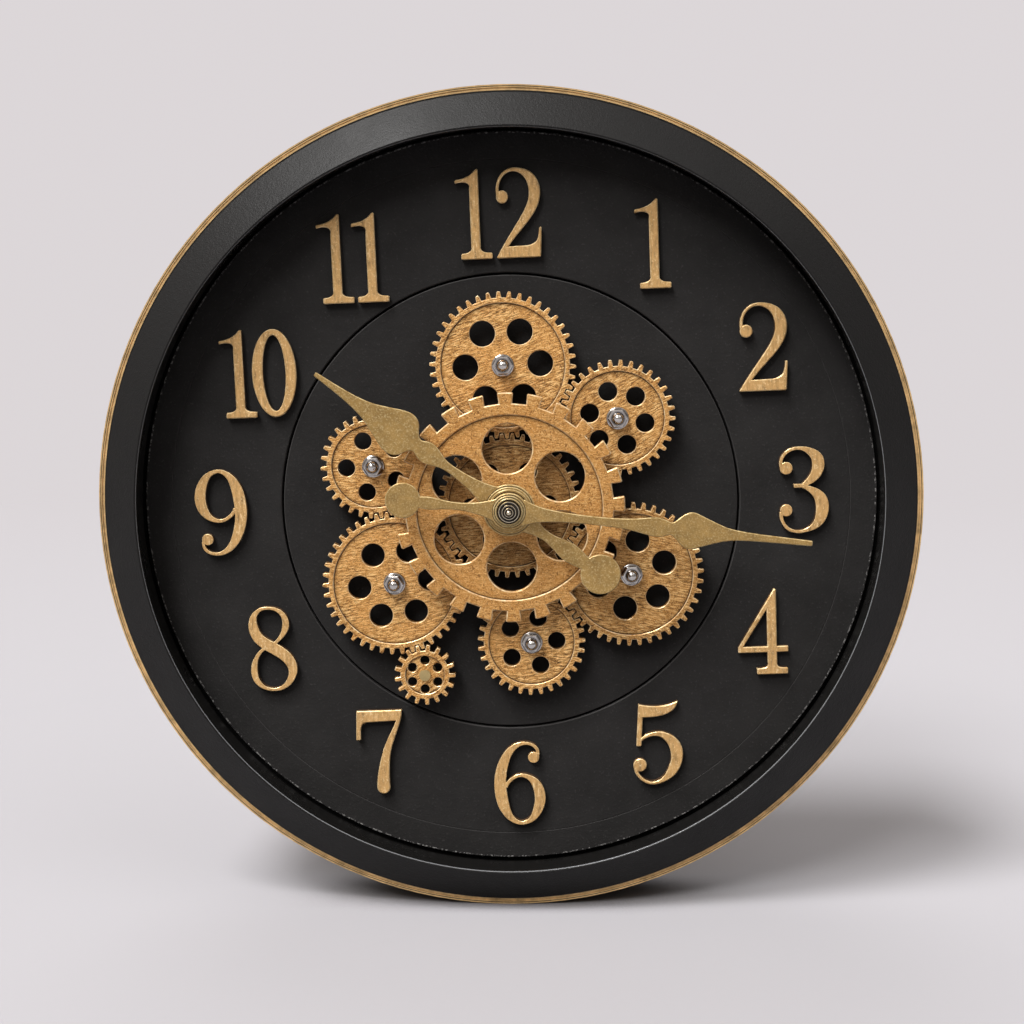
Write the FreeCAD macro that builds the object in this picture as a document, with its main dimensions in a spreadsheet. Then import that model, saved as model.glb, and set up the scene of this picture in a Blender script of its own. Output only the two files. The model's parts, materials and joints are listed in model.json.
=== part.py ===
"""Wooden gear clock: a round black case with a gold trim, twelve raised numerals, hands,
and a train of wooden gears turned by a small motor behind the dial.

The clock stands on the floor of its own frame: +Z is up, the face looks along -Y, +X is to
the right of someone who reads the dial, and the origin is on the floor under the middle.
Heights are measured from the face of the dial towards the reader, depths away from them.
"""
import FreeCAD
import Part
import math
import os
import re
import Sketcher

from FreeCAD import Placement, Rotation, Vector

SIZES = {
    # Case, from the outside in
    "trim_radius": 165.0,
    "trim_band": 3.2,
    "trim_front": 9.0,
    "trim_thickness": 8.0,
    "trim_groove_inset": 1.2,
    "trim_groove_width": 0.5,
    "trim_groove_depth": 0.5,
    "bezel_edge_height": 10.5,
    "bezel_lip_height": 20.0,
    "bezel_lip_width": 17.5,
    "bezel_lip_round": 0.9,
    "bezel_lip_depth": 2.2,
    "bezel_wall_width": 14.6,
    "retainer_height": 15.0,
    "retainer_foot": 2.2,
    "retainer_foot_width": 1.3,
    "retainer_top_width": 1.8,
    "case_inset": 6.0,
    "case_wall": 8.0,
    "case_depth": 18.0,
    "cover_thickness": 3.0,
    # Dial panels and the board that carries them
    "dial_edge_gap": 2.1,
    "dial_thickness": 3.0,
    "plate_margin": 2.3,
    "plate_gap": 1.0,
    "panel_edge": 0.35,
    "scribe_inset": 10.7,
    "scribe_width": 0.4,
    "scribe_depth": 0.3,
    "board_thickness": 4.0,
    # Screws that hold cover, case, board and bezel together
    "screw_count": 6,
    "screw_radius": 1.5,
    "screw_clearance": 0.2,
    "screw_bite": 8.0,
    "screw_head_radius": 3.0,
    "screw_head_height": 1.6,
    # Rear feet and wall hanger
    "foot_spread": 25.0,
    "foot_width": 10.0,
    "foot_length": 11.0,
    "foot_inset": 1.0,
    "hanger_width": 18.0,
    "hanger_length": 34.0,
    "hanger_thickness": 1.2,
    "hanger_fit": 0.1,
    "hanger_head_radius": 5.0,
    "hanger_slot_width": 4.4,
    "hanger_slot_length": 12.0,
    "hanger_relief": 1.5,
    # Numerals
    "numeral_inset": 21.0,
    "numeral_size": 35.2,
    "numeral_height": 3.0,
    # Fine gear train: all share one module and one plane
    "gear_module": 1.338,
    "gear_height": 4.5,
    "gear_thickness": 4.0,
    "gear_rim": 2.0,
    "gear_recess": 0.8,
    "sun_teeth": 42,
    "top_teeth": 42,
    "top_direction": 90.6,
    "top_hole_margin": 4.69,
    "top_spoke": 4.70,
    "top_hole_count": 6,
    "top_hole_turn": 1.0,
    "upper_right_teeth": 33,
    "upper_right_direction": -26.8,
    "upper_right_hole_margin": 3.72,
    "upper_right_spoke": 3.70,
    "upper_right_hole_count": 6,
    "upper_right_hole_turn": 48.0,
    "lower_right_teeth": 42,
    "lower_right_direction": -31.7,
    "lower_right_hole_margin": 5.89,
    "lower_right_spoke": 4.40,
    "lower_right_hole_count": 6,
    "lower_right_hole_turn": 18.0,
    "bottom_teeth": 31,
    "bottom_direction": -147.5,
    "bottom_hole_margin": 3.63,
    "bottom_spoke": 4.99,
    "bottom_hole_count": 5,
    "bottom_hole_turn": 1.0,
    "lower_left_teeth": 42,
    "lower_left_direction": -148.1,
    "lower_left_hole_margin": 5.69,
    "lower_left_spoke": 4.90,
    "lower_left_hole_count": 6,
    "lower_left_hole_turn": 5.0,
    "left_teeth": 30,
    "left_direction": 97.5,
    "left_hole_margin": 2.42,
    "left_spoke": 5.80,
    "left_hole_count": 5,
    "left_hole_turn": 38.0,
    "tiny_teeth": 17,
    "tiny_direction": -74.5,
    "tiny_hole_margin": 0.12,
    "tiny_spoke": 2.15,
    "tiny_hole_count": 6,
    "tiny_hole_turn": 28.0,
    # Large coarse wheel in front of the train
    "coarse_inset": 10.4,
    "coarse_teeth": 24,
    "coarse_tooth_depth": 4.4,
    "coarse_gap": 5.6,
    "coarse_height": 12.5,
    "coarse_thickness": 4.0,
    "coarse_rim": 4.5,
    "coarse_recess": 0.9,
    "coarse_hole_margin": 3.40,
    "coarse_spoke": 3.80,
    "coarse_hole_count": 6,
    "coarse_hole_turn": 90.0,
    "sun_hole_margin": 5.59,
    "sun_spoke": 8.30,
    "sun_hole_count": 6,
    "sun_hole_turn": 60.0,
    # Neck of the clock movement and the sleeve that carries the two middle wheels
    "neck_radius": 4.0,
    "neck_top": 19.0,
    "neck_nut_flats": 12.0,
    "neck_nut_height": 2.4,
    "collar_radius": 6.3,
    "collar_height": 1.4,
    "sleeve_radius": 6.4,
    "running_clearance": 0.05,
    "end_play": 0.35,
    # Posts, washers and domed nuts of the outer gears
    "stud_radius": 2.0,
    "shoulder_radius": 4.4,
    "washer_radius": 4.5,
    "washer_thickness": 0.8,
    "domed_nut_flats": 7.0,
    "domed_nut_height": 3.2,
    "dome_radius": 3.2,
    "tiny_pin_radius": 1.3,
    "tiny_pin_head_radius": 2.3,
    "tiny_pin_head_height": 1.0,
    # Hands, their tubes and the nut on the tip
    "arbor_radius": 1.5,
    "pipe_radius": 2.5,
    "hour_height": 22.0,
    "minute_height": 26.4,
    "hand_thickness": 1.4,
    "hour_length": 92.4,
    "hour_tail": 44.0,
    "hour_tail_radius": 7.9,
    "hour_boss_radius": 10.2,
    "hour_boss_rise": 1.2,
    "hour_angle": 52.6,
    "minute_length": 118.6,
    "minute_tail": 41.6,
    "minute_tail_radius": 6.9,
    "minute_boss_radius": 7.2,
    "minute_boss_rise": 1.0,
    "minute_angle": 98.2,
    "boss_ring_width": 0.9,
    "collet_radius": 3.6,
    "collet_length": 1.5,
    "tip_nut_radius": 4.2,
    "tip_nut_height": 4.2,
    "tip_dome_share": 0.3,
    # Clock movement, centred behind the dial
    "movement_side": 56.0,
    "movement_depth": 16.0,
    "module_wall": 1.5,
    "module_corner": 3.0,
    "bay_length": 52.0,
    "bay_height": 15.4,
    "bay_margin": 1.5,
    "lid_thickness": 1.2,
    "lid_fit": 0.1,
    "window_margin": 2.0,
    "cell_radius": 7.1,
    "cell_length": 49.2,
    "cell_nub_radius": 2.75,
    "cell_nub_length": 1.3,
    "contact_width": 9.0,
    "contact_length": 12.0,
    # Motion work inside the movement: 12 to 1 between the hands
    "motion_distance": 10.0,
    "cannon_teeth": 12,
    "motion_teeth": 36,
    "motion_pinion_teeth": 10,
    "hour_wheel_teeth": 40,
    "motion_wheel_thickness": 2.4,
    "motion_post_radius": 1.0,
    "setting_teeth": 12,
    "knob_radius": 8.0,
    "knob_thickness": 3.4,
    "knob_notch_radius": 0.7,
    "knob_notch_count": 24,
    # Motor unit behind the top gear
    "motor_side": 56.0,
    "motor_height": 50.0,
    "motor_centre_rise": 9.8,
    "drive_module": 0.5,
    "drive_pinion_teeth": 12,
    "drive_wheel_teeth": 48,
    "drive_wheel_thickness": 2.6,
    "drive_wheel_depth": 10.0,
    "motor_can_radius": 8.0,
    "motor_can_length": 6.8,
    "motor_shaft_radius": 1.0,
    "switch_across": 17.0,
    "switch_drop": 8.0,
    "switch_travel": 4.0,
    "switch_width": 4.0,
    "switch_height": 3.4,
    "switch_rise": 1.4,
    "switch_flange": 2.0,
    "switch_fit": 0.08,
    "clear_gap": 0.3,
    # Tooth form and the overrun of every through cut
    "addendum_share": 0.8,
    "dedendum_share": 1.05,
    "tip_gap_share": 0.74,
    "root_gap_share": 0.44,
    "overrun": 1.0,
}

# The axis of the case is one trim radius above the floor, and the face of the dial lies
# where the whole clock is centred front to back.
TIP_HEIGHT = "minute_height + hand_thickness + minute_boss_rise + tip_nut_height"
BACK_DEPTH = "dial_thickness + board_thickness + case_depth + cover_thickness"
DIAL_PLACE = f"({TIP_HEIGHT} - ({BACK_DEPTH})) / 2"
PANEL_BACK = "dial_thickness"
BOARD_BACK = "dial_thickness + board_thickness"
CASE_BACK = "dial_thickness + board_thickness + case_depth"
MODULE_BACK = f"{BOARD_BACK} + movement_depth"

doc = FreeCAD.newDocument("gear_clock")
sheet = doc.addObject("Spreadsheet::Sheet", "Sizes")
for row, (alias, number) in enumerate(SIZES.items(), 1):
    sheet.set(f"A{row}", alias.replace("_", " "))
    sheet.set(f"B{row}", str(number))
    sheet.setAlias(f"B{row}", alias)
doc.recompute()

WORD = re.compile(r"[a-z][a-z_]*[a-z]")


def bound(text):
    """The same sum with every size written as a cell of the sheet."""
    return WORD.sub(lambda found: f"Sizes.{found.group()}" if found.group() in SIZES else found.group(), text)


def amount(text):
    """The value of a sum of sizes."""
    return float(sheet.evalExpression(bound(text)))


def bind(thing, place, text):
    thing.setExpression(place, bound(text))


def new_body(label):
    body = doc.addObject("PartDesign::Body", label)
    body.Label = label
    return body


def seat(thing, across="0", up="0", height="0"):
    """Puts a piece on the case axis, or across and up from it, at a height over the dial."""
    place = (across, f"{DIAL_PLACE} - ({height})", f"trim_radius + {up}")
    thing.Placement = Placement(Vector(*(amount(text) for text in place)), thing.Placement.Rotation)
    for letter, text in zip("xyz", place):
        bind(thing, f"Placement.Base.{letter}", text)
    return thing


def new_sketch(body, role, height="0", turn="0"):
    """A sketch on one of the body's own planes, at a height and turned about its normal."""
    sketch = body.newObject("Sketcher::SketchObject", f"{body.Name}_sketch")
    plane = next(item for item in body.Origin.OriginFeatures if item.Role == role)
    sketch.AttachmentSupport = [(plane, "")]
    sketch.MapMode = "FlatFace"
    sketch.AttachmentOffset = Placement(Vector(0, 0, amount(height)), Rotation(Vector(0, 0, 1), 1))
    bind(sketch, "AttachmentOffset.Base.z", height)
    bind(sketch, "AttachmentOffset.Rotation.Angle", turn)
    return sketch


def fix_point(sketch, item, end, across, up):
    """Holds one point of a sketch at a place written in sizes."""
    for kind, text in (("DistanceX", across), ("DistanceY", up)):
        index = sketch.addConstraint(Sketcher.Constraint(kind, -1, 1, item, end, amount(text)))
        bind(sketch, f"Constraints[{index}]", text)


def fix_radius(sketch, item, radius):
    index = sketch.addConstraint(Sketcher.Constraint("Radius", item, amount(radius)))
    bind(sketch, f"Constraints[{index}]", radius)


def draw_outline(sketch, corners):
    """A closed outline. A corner is (across, up), or (across, up, radius, centre across,
    centre up) where an arc about that centre leads to it."""
    points = [Vector(amount(corner[0]), amount(corner[1]), 0) for corner in corners]
    runs = []
    for index, corner in enumerate(corners):
        start, end = points[index - 1], points[index]
        if len(corner) == 2:
            runs.append((sketch.addGeometry(Part.LineSegment(start, end), False), 1, 2))
            continue
        centre = Vector(amount(corner[3]), amount(corner[4]), 0)
        circle = Part.Circle(centre, Vector(0, 0, 1), amount(corner[2]))
        angles = [math.atan2(point.y - centre.y, point.x - centre.x) for point in (start, end)]
        forward = (start - centre).cross(end - centre).z > 0
        arc = sketch.addGeometry(Part.ArcOfCircle(circle, *(angles if forward else angles[::-1])), False)
        runs.append((arc, 1, 2) if forward else (arc, 2, 1))
    for index, (item, first, last) in enumerate(runs):
        following, start, end = runs[(index + 1) % len(runs)]
        sketch.addConstraint(Sketcher.Constraint("Coincident", item, last, following, start))
        if len(corners[index]) > 2:
            fix_radius(sketch, item, corners[index][2])
        fix_point(sketch, item, last, corners[index][0], corners[index][1])


def draw_circle(sketch, radius, across="0", up="0"):
    centre = Vector(amount(across), amount(up), 0)
    item = sketch.addGeometry(Part.Circle(centre, Vector(0, 0, 1), amount(radius)), False)
    fix_radius(sketch, item, radius)
    fix_point(sketch, item, 3, across, up)


def draw_box(sketch, width, tall, across="0", up="0"):
    left, right = f"{across} - ({width}) / 2", f"{across} + ({width}) / 2"
    low, high = f"{up} - ({tall}) / 2", f"{up} + ({tall}) / 2"
    draw_outline(sketch, [(left, low), (right, low), (right, high), (left, high)])


def draw_hexagon(sketch, flats):
    """A hexagon across two flat sides."""
    corners = []
    for turn in range(0, 360, 60):
        corners.append((f"{flats} / sqrt(3) * cos({turn})", f"{flats} / sqrt(3) * sin({turn})"))
    draw_outline(sketch, corners)


def feature(body, kind, sketch, length, reverse):
    """A pad or pocket of a sketch: to a length, or through everything."""
    step = body.newObject(f"PartDesign::{kind}", f"{body.Name}_{kind.lower()}")
    step.Profile = sketch
    step.Reversed = reverse
    if length is None:
        step.Type = "ThroughAll"
    else:
        bind(step, "Length", length)
    return step


def pad(body, sketch, length):
    """Adds material from the sketch towards the reader."""
    return feature(body, "Pad", sketch, length, False)


def cut(body, sketch, length=None, reverse=False):
    """Takes material away behind the sketch, or in front of it."""
    return feature(body, "Pocket", sketch, length, reverse)


def repeat_around(body, step, sketch, count):
    """Repeats one step evenly about the axis of its sketch."""
    pattern = body.newObject("PartDesign::PolarPattern", f"{body.Name}_pattern")
    pattern.Originals = [step]
    pattern.Axis = (sketch, ["N_Axis"])
    pattern.Angle = 360
    bind(pattern, "Occurrences", count)
    body.Tip = pattern
    return pattern


def revolve(body, corners):
    """Turns a profile of (radius, height) corners about the body's front-to-back axis."""
    sketch = new_sketch(body, "XY_Plane")
    flipped = []
    for corner in corners:
        heights = (f"-({corner[1]})",)
        centre = (corner[2], corner[3], f"-({corner[4]})") if len(corner) > 2 else ()
        flipped.append((corner[0],) + heights + centre)
    draw_outline(sketch, flipped)
    step = body.newObject("PartDesign::Revolution", f"{body.Name}_turning")
    step.Profile = sketch
    step.ReferenceAxis = (sketch, ["V_Axis"])
    step.Angle = 360
    return step


def turned(label, corners):
    body = new_body(label)
    revolve(body, corners)
    return body


def tube(label, inner, outer, low, high):
    """A plain ring or tube between two heights."""
    return turned(label, [(inner, low), (outer, low), (outer, high), (inner, high)])


def polar(distance, direction):
    """Across and up of a place at a distance and a direction from the case axis."""
    return f"({distance}) * cos({direction})", f"({distance}) * sin({direction})"


def offset(place, distance, direction):
    across, up = polar(distance, direction)
    return f"{place[0]} + {across}", f"{place[1]} + {up}"


# Places of the gears, each in mesh with the one that drives it

POST_GEARS = ("upper_right", "lower_right", "bottom", "lower_left", "left")
GEAR_DRIVERS = {
    "top": "sun", "lower_right": "sun", "lower_left": "sun",
    "upper_right": "top", "bottom": "lower_right", "left": "lower_left", "tiny": "lower_left",
}


def meshing_turn(driver_teeth, driver_turn, heading, teeth):
    """The turn that puts a gear's teeth into the gaps of the gear that drives it."""
    return f"({heading} + 180 + (180 - {driver_teeth} * ({driver_turn} - {heading})) / {teeth})"


def arrange_train():
    """Where each gear of the train stands, and how its teeth are turned to mesh."""
    places, turns = {"sun": ("0", "0")}, {"sun": "0"}
    for name, driver in GEAR_DRIVERS.items():
        heading = f"{name}_direction"
        spread = f"gear_module * ({driver}_teeth + {name}_teeth) / 2"
        places[name] = offset(places[driver], spread, heading)
        turns[name] = meshing_turn(f"{driver}_teeth", turns[driver], heading, f"{name}_teeth")
    return places, turns


GEAR_PLACES, GEAR_TURNS = arrange_train()


# Case: each radius is taken from the trim's, which is the widest

BEZEL_LIP = "(trim_radius - bezel_lip_width)"
BEZEL_WALL = "(trim_radius - bezel_wall_width)"
DIAL_RADIUS = f"({BEZEL_WALL} - dial_edge_gap)"
SCRIBE_RADIUS = f"({DIAL_RADIUS} - scribe_inset)"
NUMERAL_CIRCLE = f"({SCRIBE_RADIUS} - numeral_inset)"
CASE_RADIUS = "(trim_radius - case_inset)"
SCREW_CIRCLE = f"({CASE_RADIUS} - case_wall / 2)"
SCREW_HOLE = "screw_radius + screw_clearance"
TINY_REACH = "sqrt(({0}) ^ 2 + ({1}) ^ 2)".format(*GEAR_PLACES["tiny"])
PLATE_RADIUS = f"({TINY_REACH} + gear_module * (tiny_teeth / 2 + addendum_share) + plate_margin)"
MOTOR_WINDOW_TOP = f"{GEAR_PLACES['top'][1]} + motor_centre_rise + motor_height / 2 + window_margin"
HANGER_UP = f"({MOTOR_WINDOW_TOP} + {CASE_RADIUS} - case_wall) / 2"


def drill_around(body, radius, height="overrun", depth=None, reverse=False):
    """The circle of screw holes, its first hole half a step above the right."""
    sketch = new_sketch(body, "XZ_Plane", height, "180 / screw_count")
    draw_circle(sketch, radius, SCREW_CIRCLE)
    repeat_around(body, cut(body, sketch, depth, reverse), sketch, "screw_count")


def front_bezel():
    outer = "trim_radius - trim_band"
    body = turned("front_bezel", [
        (BEZEL_LIP, "bezel_lip_height - bezel_lip_round"),
        (f"{BEZEL_LIP} + bezel_lip_round", "bezel_lip_height", "bezel_lip_round",
         f"{BEZEL_LIP} + bezel_lip_round", "bezel_lip_height - bezel_lip_round"),
        (outer, "bezel_edge_height"),
        (outer, f"-({PANEL_BACK})"),
        (BEZEL_WALL, f"-({PANEL_BACK})"),
        (BEZEL_WALL, "bezel_lip_height - bezel_lip_depth"),
        (BEZEL_LIP, "bezel_lip_height - bezel_lip_depth"),
    ])
    drill_around(body, "screw_radius", f"-({PANEL_BACK})", "screw_bite", True)
    return body


def trim_ring():
    inner, outer = "trim_radius - trim_band", "trim_radius"
    groove = "trim_radius - trim_groove_inset"
    floor = "trim_front - trim_groove_depth"
    return turned("trim_ring", [
        (inner, "trim_front - trim_thickness"),
        (outer, "trim_front - trim_thickness"),
        (outer, "trim_front"),
        (groove, "trim_front"),
        (groove, floor),
        (f"{groove} - trim_groove_width", floor),
        (f"{groove} - trim_groove_width", "trim_front"),
        (inner, "trim_front"),
    ])


def retaining_ring():
    top = "retainer_foot + retainer_height"
    return turned("retaining_ring", [
        (BEZEL_WALL, "retainer_foot"),
        (BEZEL_WALL, top),
        (f"{BEZEL_WALL} - retainer_top_width", top),
        (f"{BEZEL_WALL} - retainer_foot_width", "retainer_foot"),
    ])


def dial_ring():
    inner, outer = f"{PLATE_RADIUS} + plate_gap", DIAL_RADIUS
    return turned("dial_ring", [
        (inner, f"-({PANEL_BACK})"),
        (outer, f"-({PANEL_BACK})"),
        (outer, "-panel_edge"),
        (f"{outer} - panel_edge", "0"),
        (f"{SCRIBE_RADIUS} + scribe_width / 2", "0"),
        (SCRIBE_RADIUS, "-scribe_depth"),
        (f"{SCRIBE_RADIUS} - scribe_width / 2", "0"),
        (f"{inner} + panel_edge", "0"),
        (inner, "-panel_edge"),
    ])


def bore_holes(body, radius, places, top="overrun"):
    """Round holes through a flat piece at places across and up from its axis."""
    sketch = new_sketch(body, "XZ_Plane", top)
    for across, up in places:
        draw_circle(sketch, radius, across, up)
    return cut(body, sketch)


def gear_plate():
    body = new_body("gear_plate")
    revolve(body, [
        ("neck_radius + running_clearance", f"-({PANEL_BACK})"),
        (PLATE_RADIUS, f"-({PANEL_BACK})"),
        (PLATE_RADIUS, "-panel_edge"),
        (f"{PLATE_RADIUS} - panel_edge", "0"),
        ("neck_radius + running_clearance", "0"),
    ])
    bore_holes(body, "stud_radius", [GEAR_PLACES[name] for name in POST_GEARS])
    bore_holes(body, "tiny_pin_radius", [GEAR_PLACES["tiny"]])
    bore_holes(body, "stud_radius + running_clearance", [GEAR_PLACES["top"]])
    return body


def carrier_board():
    body = tube("carrier_board", "neck_radius + running_clearance", CASE_RADIUS,
                f"-({BOARD_BACK})", f"-({PANEL_BACK})")
    bore_holes(body, "stud_radius", [GEAR_PLACES[name] for name in POST_GEARS])
    bore_holes(body, "tiny_pin_radius", [GEAR_PLACES["tiny"]])
    bore_holes(body, "stud_radius + running_clearance", [GEAR_PLACES["top"]])
    drill_around(body, SCREW_HOLE)
    return body


def case_drum():
    body = tube("case_drum", f"{CASE_RADIUS} - case_wall", CASE_RADIUS,
                f"-({CASE_BACK})", f"-({BOARD_BACK})")
    drill_around(body, SCREW_HOLE)
    return body


def back_cover():
    """A flat cover with windows over the two modules, a recess for the hanger, relief for
    the head of the wall screw and the six screw holes."""
    body = new_body("back_cover")
    revolve(body, [
        ("0", f"-({BACK_DEPTH})"),
        (CASE_RADIUS, f"-({BACK_DEPTH})"),
        (CASE_RADIUS, f"-({CASE_BACK})"),
        ("0", f"-({CASE_BACK})"),
    ])
    windows = new_sketch(body, "XZ_Plane", "overrun")
    margin = "2 * window_margin"
    draw_box(windows, f"movement_side + {margin}", f"movement_side + {margin}")
    across, up = GEAR_PLACES["top"]
    draw_box(windows, f"motor_side + {margin}", f"motor_height + {margin}",
             across, f"{up} + motor_centre_rise")
    relief_width = "2 * (hanger_head_radius + hanger_relief)"
    relief_length = f"hanger_slot_length + {relief_width}"
    draw_box(windows, relief_width, relief_length, "0", HANGER_UP)
    cut(body, windows)
    recess = new_sketch(body, "XZ_Plane", f"-({BACK_DEPTH})")
    fit = "2 * hanger_fit"
    draw_box(recess, f"hanger_width + {fit}", f"hanger_length + {fit}", "0", HANGER_UP)
    cut(body, recess, "hanger_thickness", True)
    drill_around(body, SCREW_HOLE)
    drill_around(body, "screw_head_radius + screw_clearance", f"-({BACK_DEPTH})", "screw_head_height", True)
    return body


def wall_hanger():
    """A steel keyhole plate, flush with the back, its narrow slot above its round hole."""
    body = new_body("wall_hanger")
    low = "-hanger_slot_length / 2"
    plate = new_sketch(body, "XZ_Plane")
    draw_box(plate, "hanger_width", "hanger_length")
    pad(body, plate, "hanger_thickness")
    head = new_sketch(body, "XZ_Plane", "hanger_thickness")
    draw_circle(head, "hanger_head_radius", "0", low)
    cut(body, head)
    slot = new_sketch(body, "XZ_Plane", "hanger_thickness")
    half = "hanger_slot_width / 2"
    top = "hanger_slot_length / 2"
    draw_outline(slot, [(f"-{half}", low), (half, low), (half, top), ("0", f"{top} + {half}", half, "0", top),
                        (f"-{half}", top, half, "0", top)])
    cut(body, slot)
    seat(body, "0", HANGER_UP, f"-({BACK_DEPTH})")
    return body


def rear_feet():
    """Two rubber feet under the rear of the case, shaped to it, reaching down to the floor."""
    template = new_body("foot_form")
    sketch = new_sketch(template, "XZ_Plane")
    left, right = "foot_spread - foot_width / 2", "foot_spread + foot_width / 2"
    rise = f"-sqrt({CASE_RADIUS} ^ 2 - ({{0}}) ^ 2)"
    draw_outline(sketch, [(left, "-trim_radius"), (right, "-trim_radius"), (right, rise.format(right)),
                          (left, rise.format(left), CASE_RADIUS, "0", "0")])
    pad(template, sketch, "foot_length")
    seat(template, "0", "0", f"-({CASE_BACK} - foot_inset)")
    doc.recompute()
    right_foot = template.Shape.copy()
    left_foot = right_foot.mirror(Vector(0, 0, 0), Vector(1, 0, 0))
    return grouped("rear_feet", [right_foot, left_foot])


def grouped(label, shapes):
    """Separate solids that share one node."""
    thing = doc.addObject("Part::Feature", label)
    thing.Label = label
    thing.Shape = Part.makeCompound([solid for shape in shapes for solid in shape.Solids])
    return thing


def copies(label, template, places, height="0"):
    """The template's solids, repeated at each place."""
    doc.recompute()
    shapes = []
    for across, up in places:
        shape = template.Shape.copy()
        place = Vector(amount(across), amount(DIAL_PLACE) - amount(height), amount(f"trim_radius + {up}"))
        shape.Placement = Placement(place, Rotation())
        shapes.append(shape)
    return grouped(label, shapes)


def case_screws():
    """Long screws through cover, case and board into the bezel, their heads flush."""
    length = f"({BACK_DEPTH}) - dial_thickness + screw_bite"
    template = turned("screw_form", [
        ("0", "0"), ("screw_head_radius", "0"), ("screw_head_radius", "screw_head_height"),
        ("screw_radius", "screw_head_height"), ("screw_radius", length), ("0", length),
    ])
    places = []
    for index in range(round(amount("screw_count"))):
        places.append(polar(SCREW_CIRCLE, f"({index} + 1 / 2) * 360 / screw_count"))
    return copies("case_screws", template, places, f"-({BACK_DEPTH})")


# Numerals, drawn as strokes of changing width in shares of their height

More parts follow.
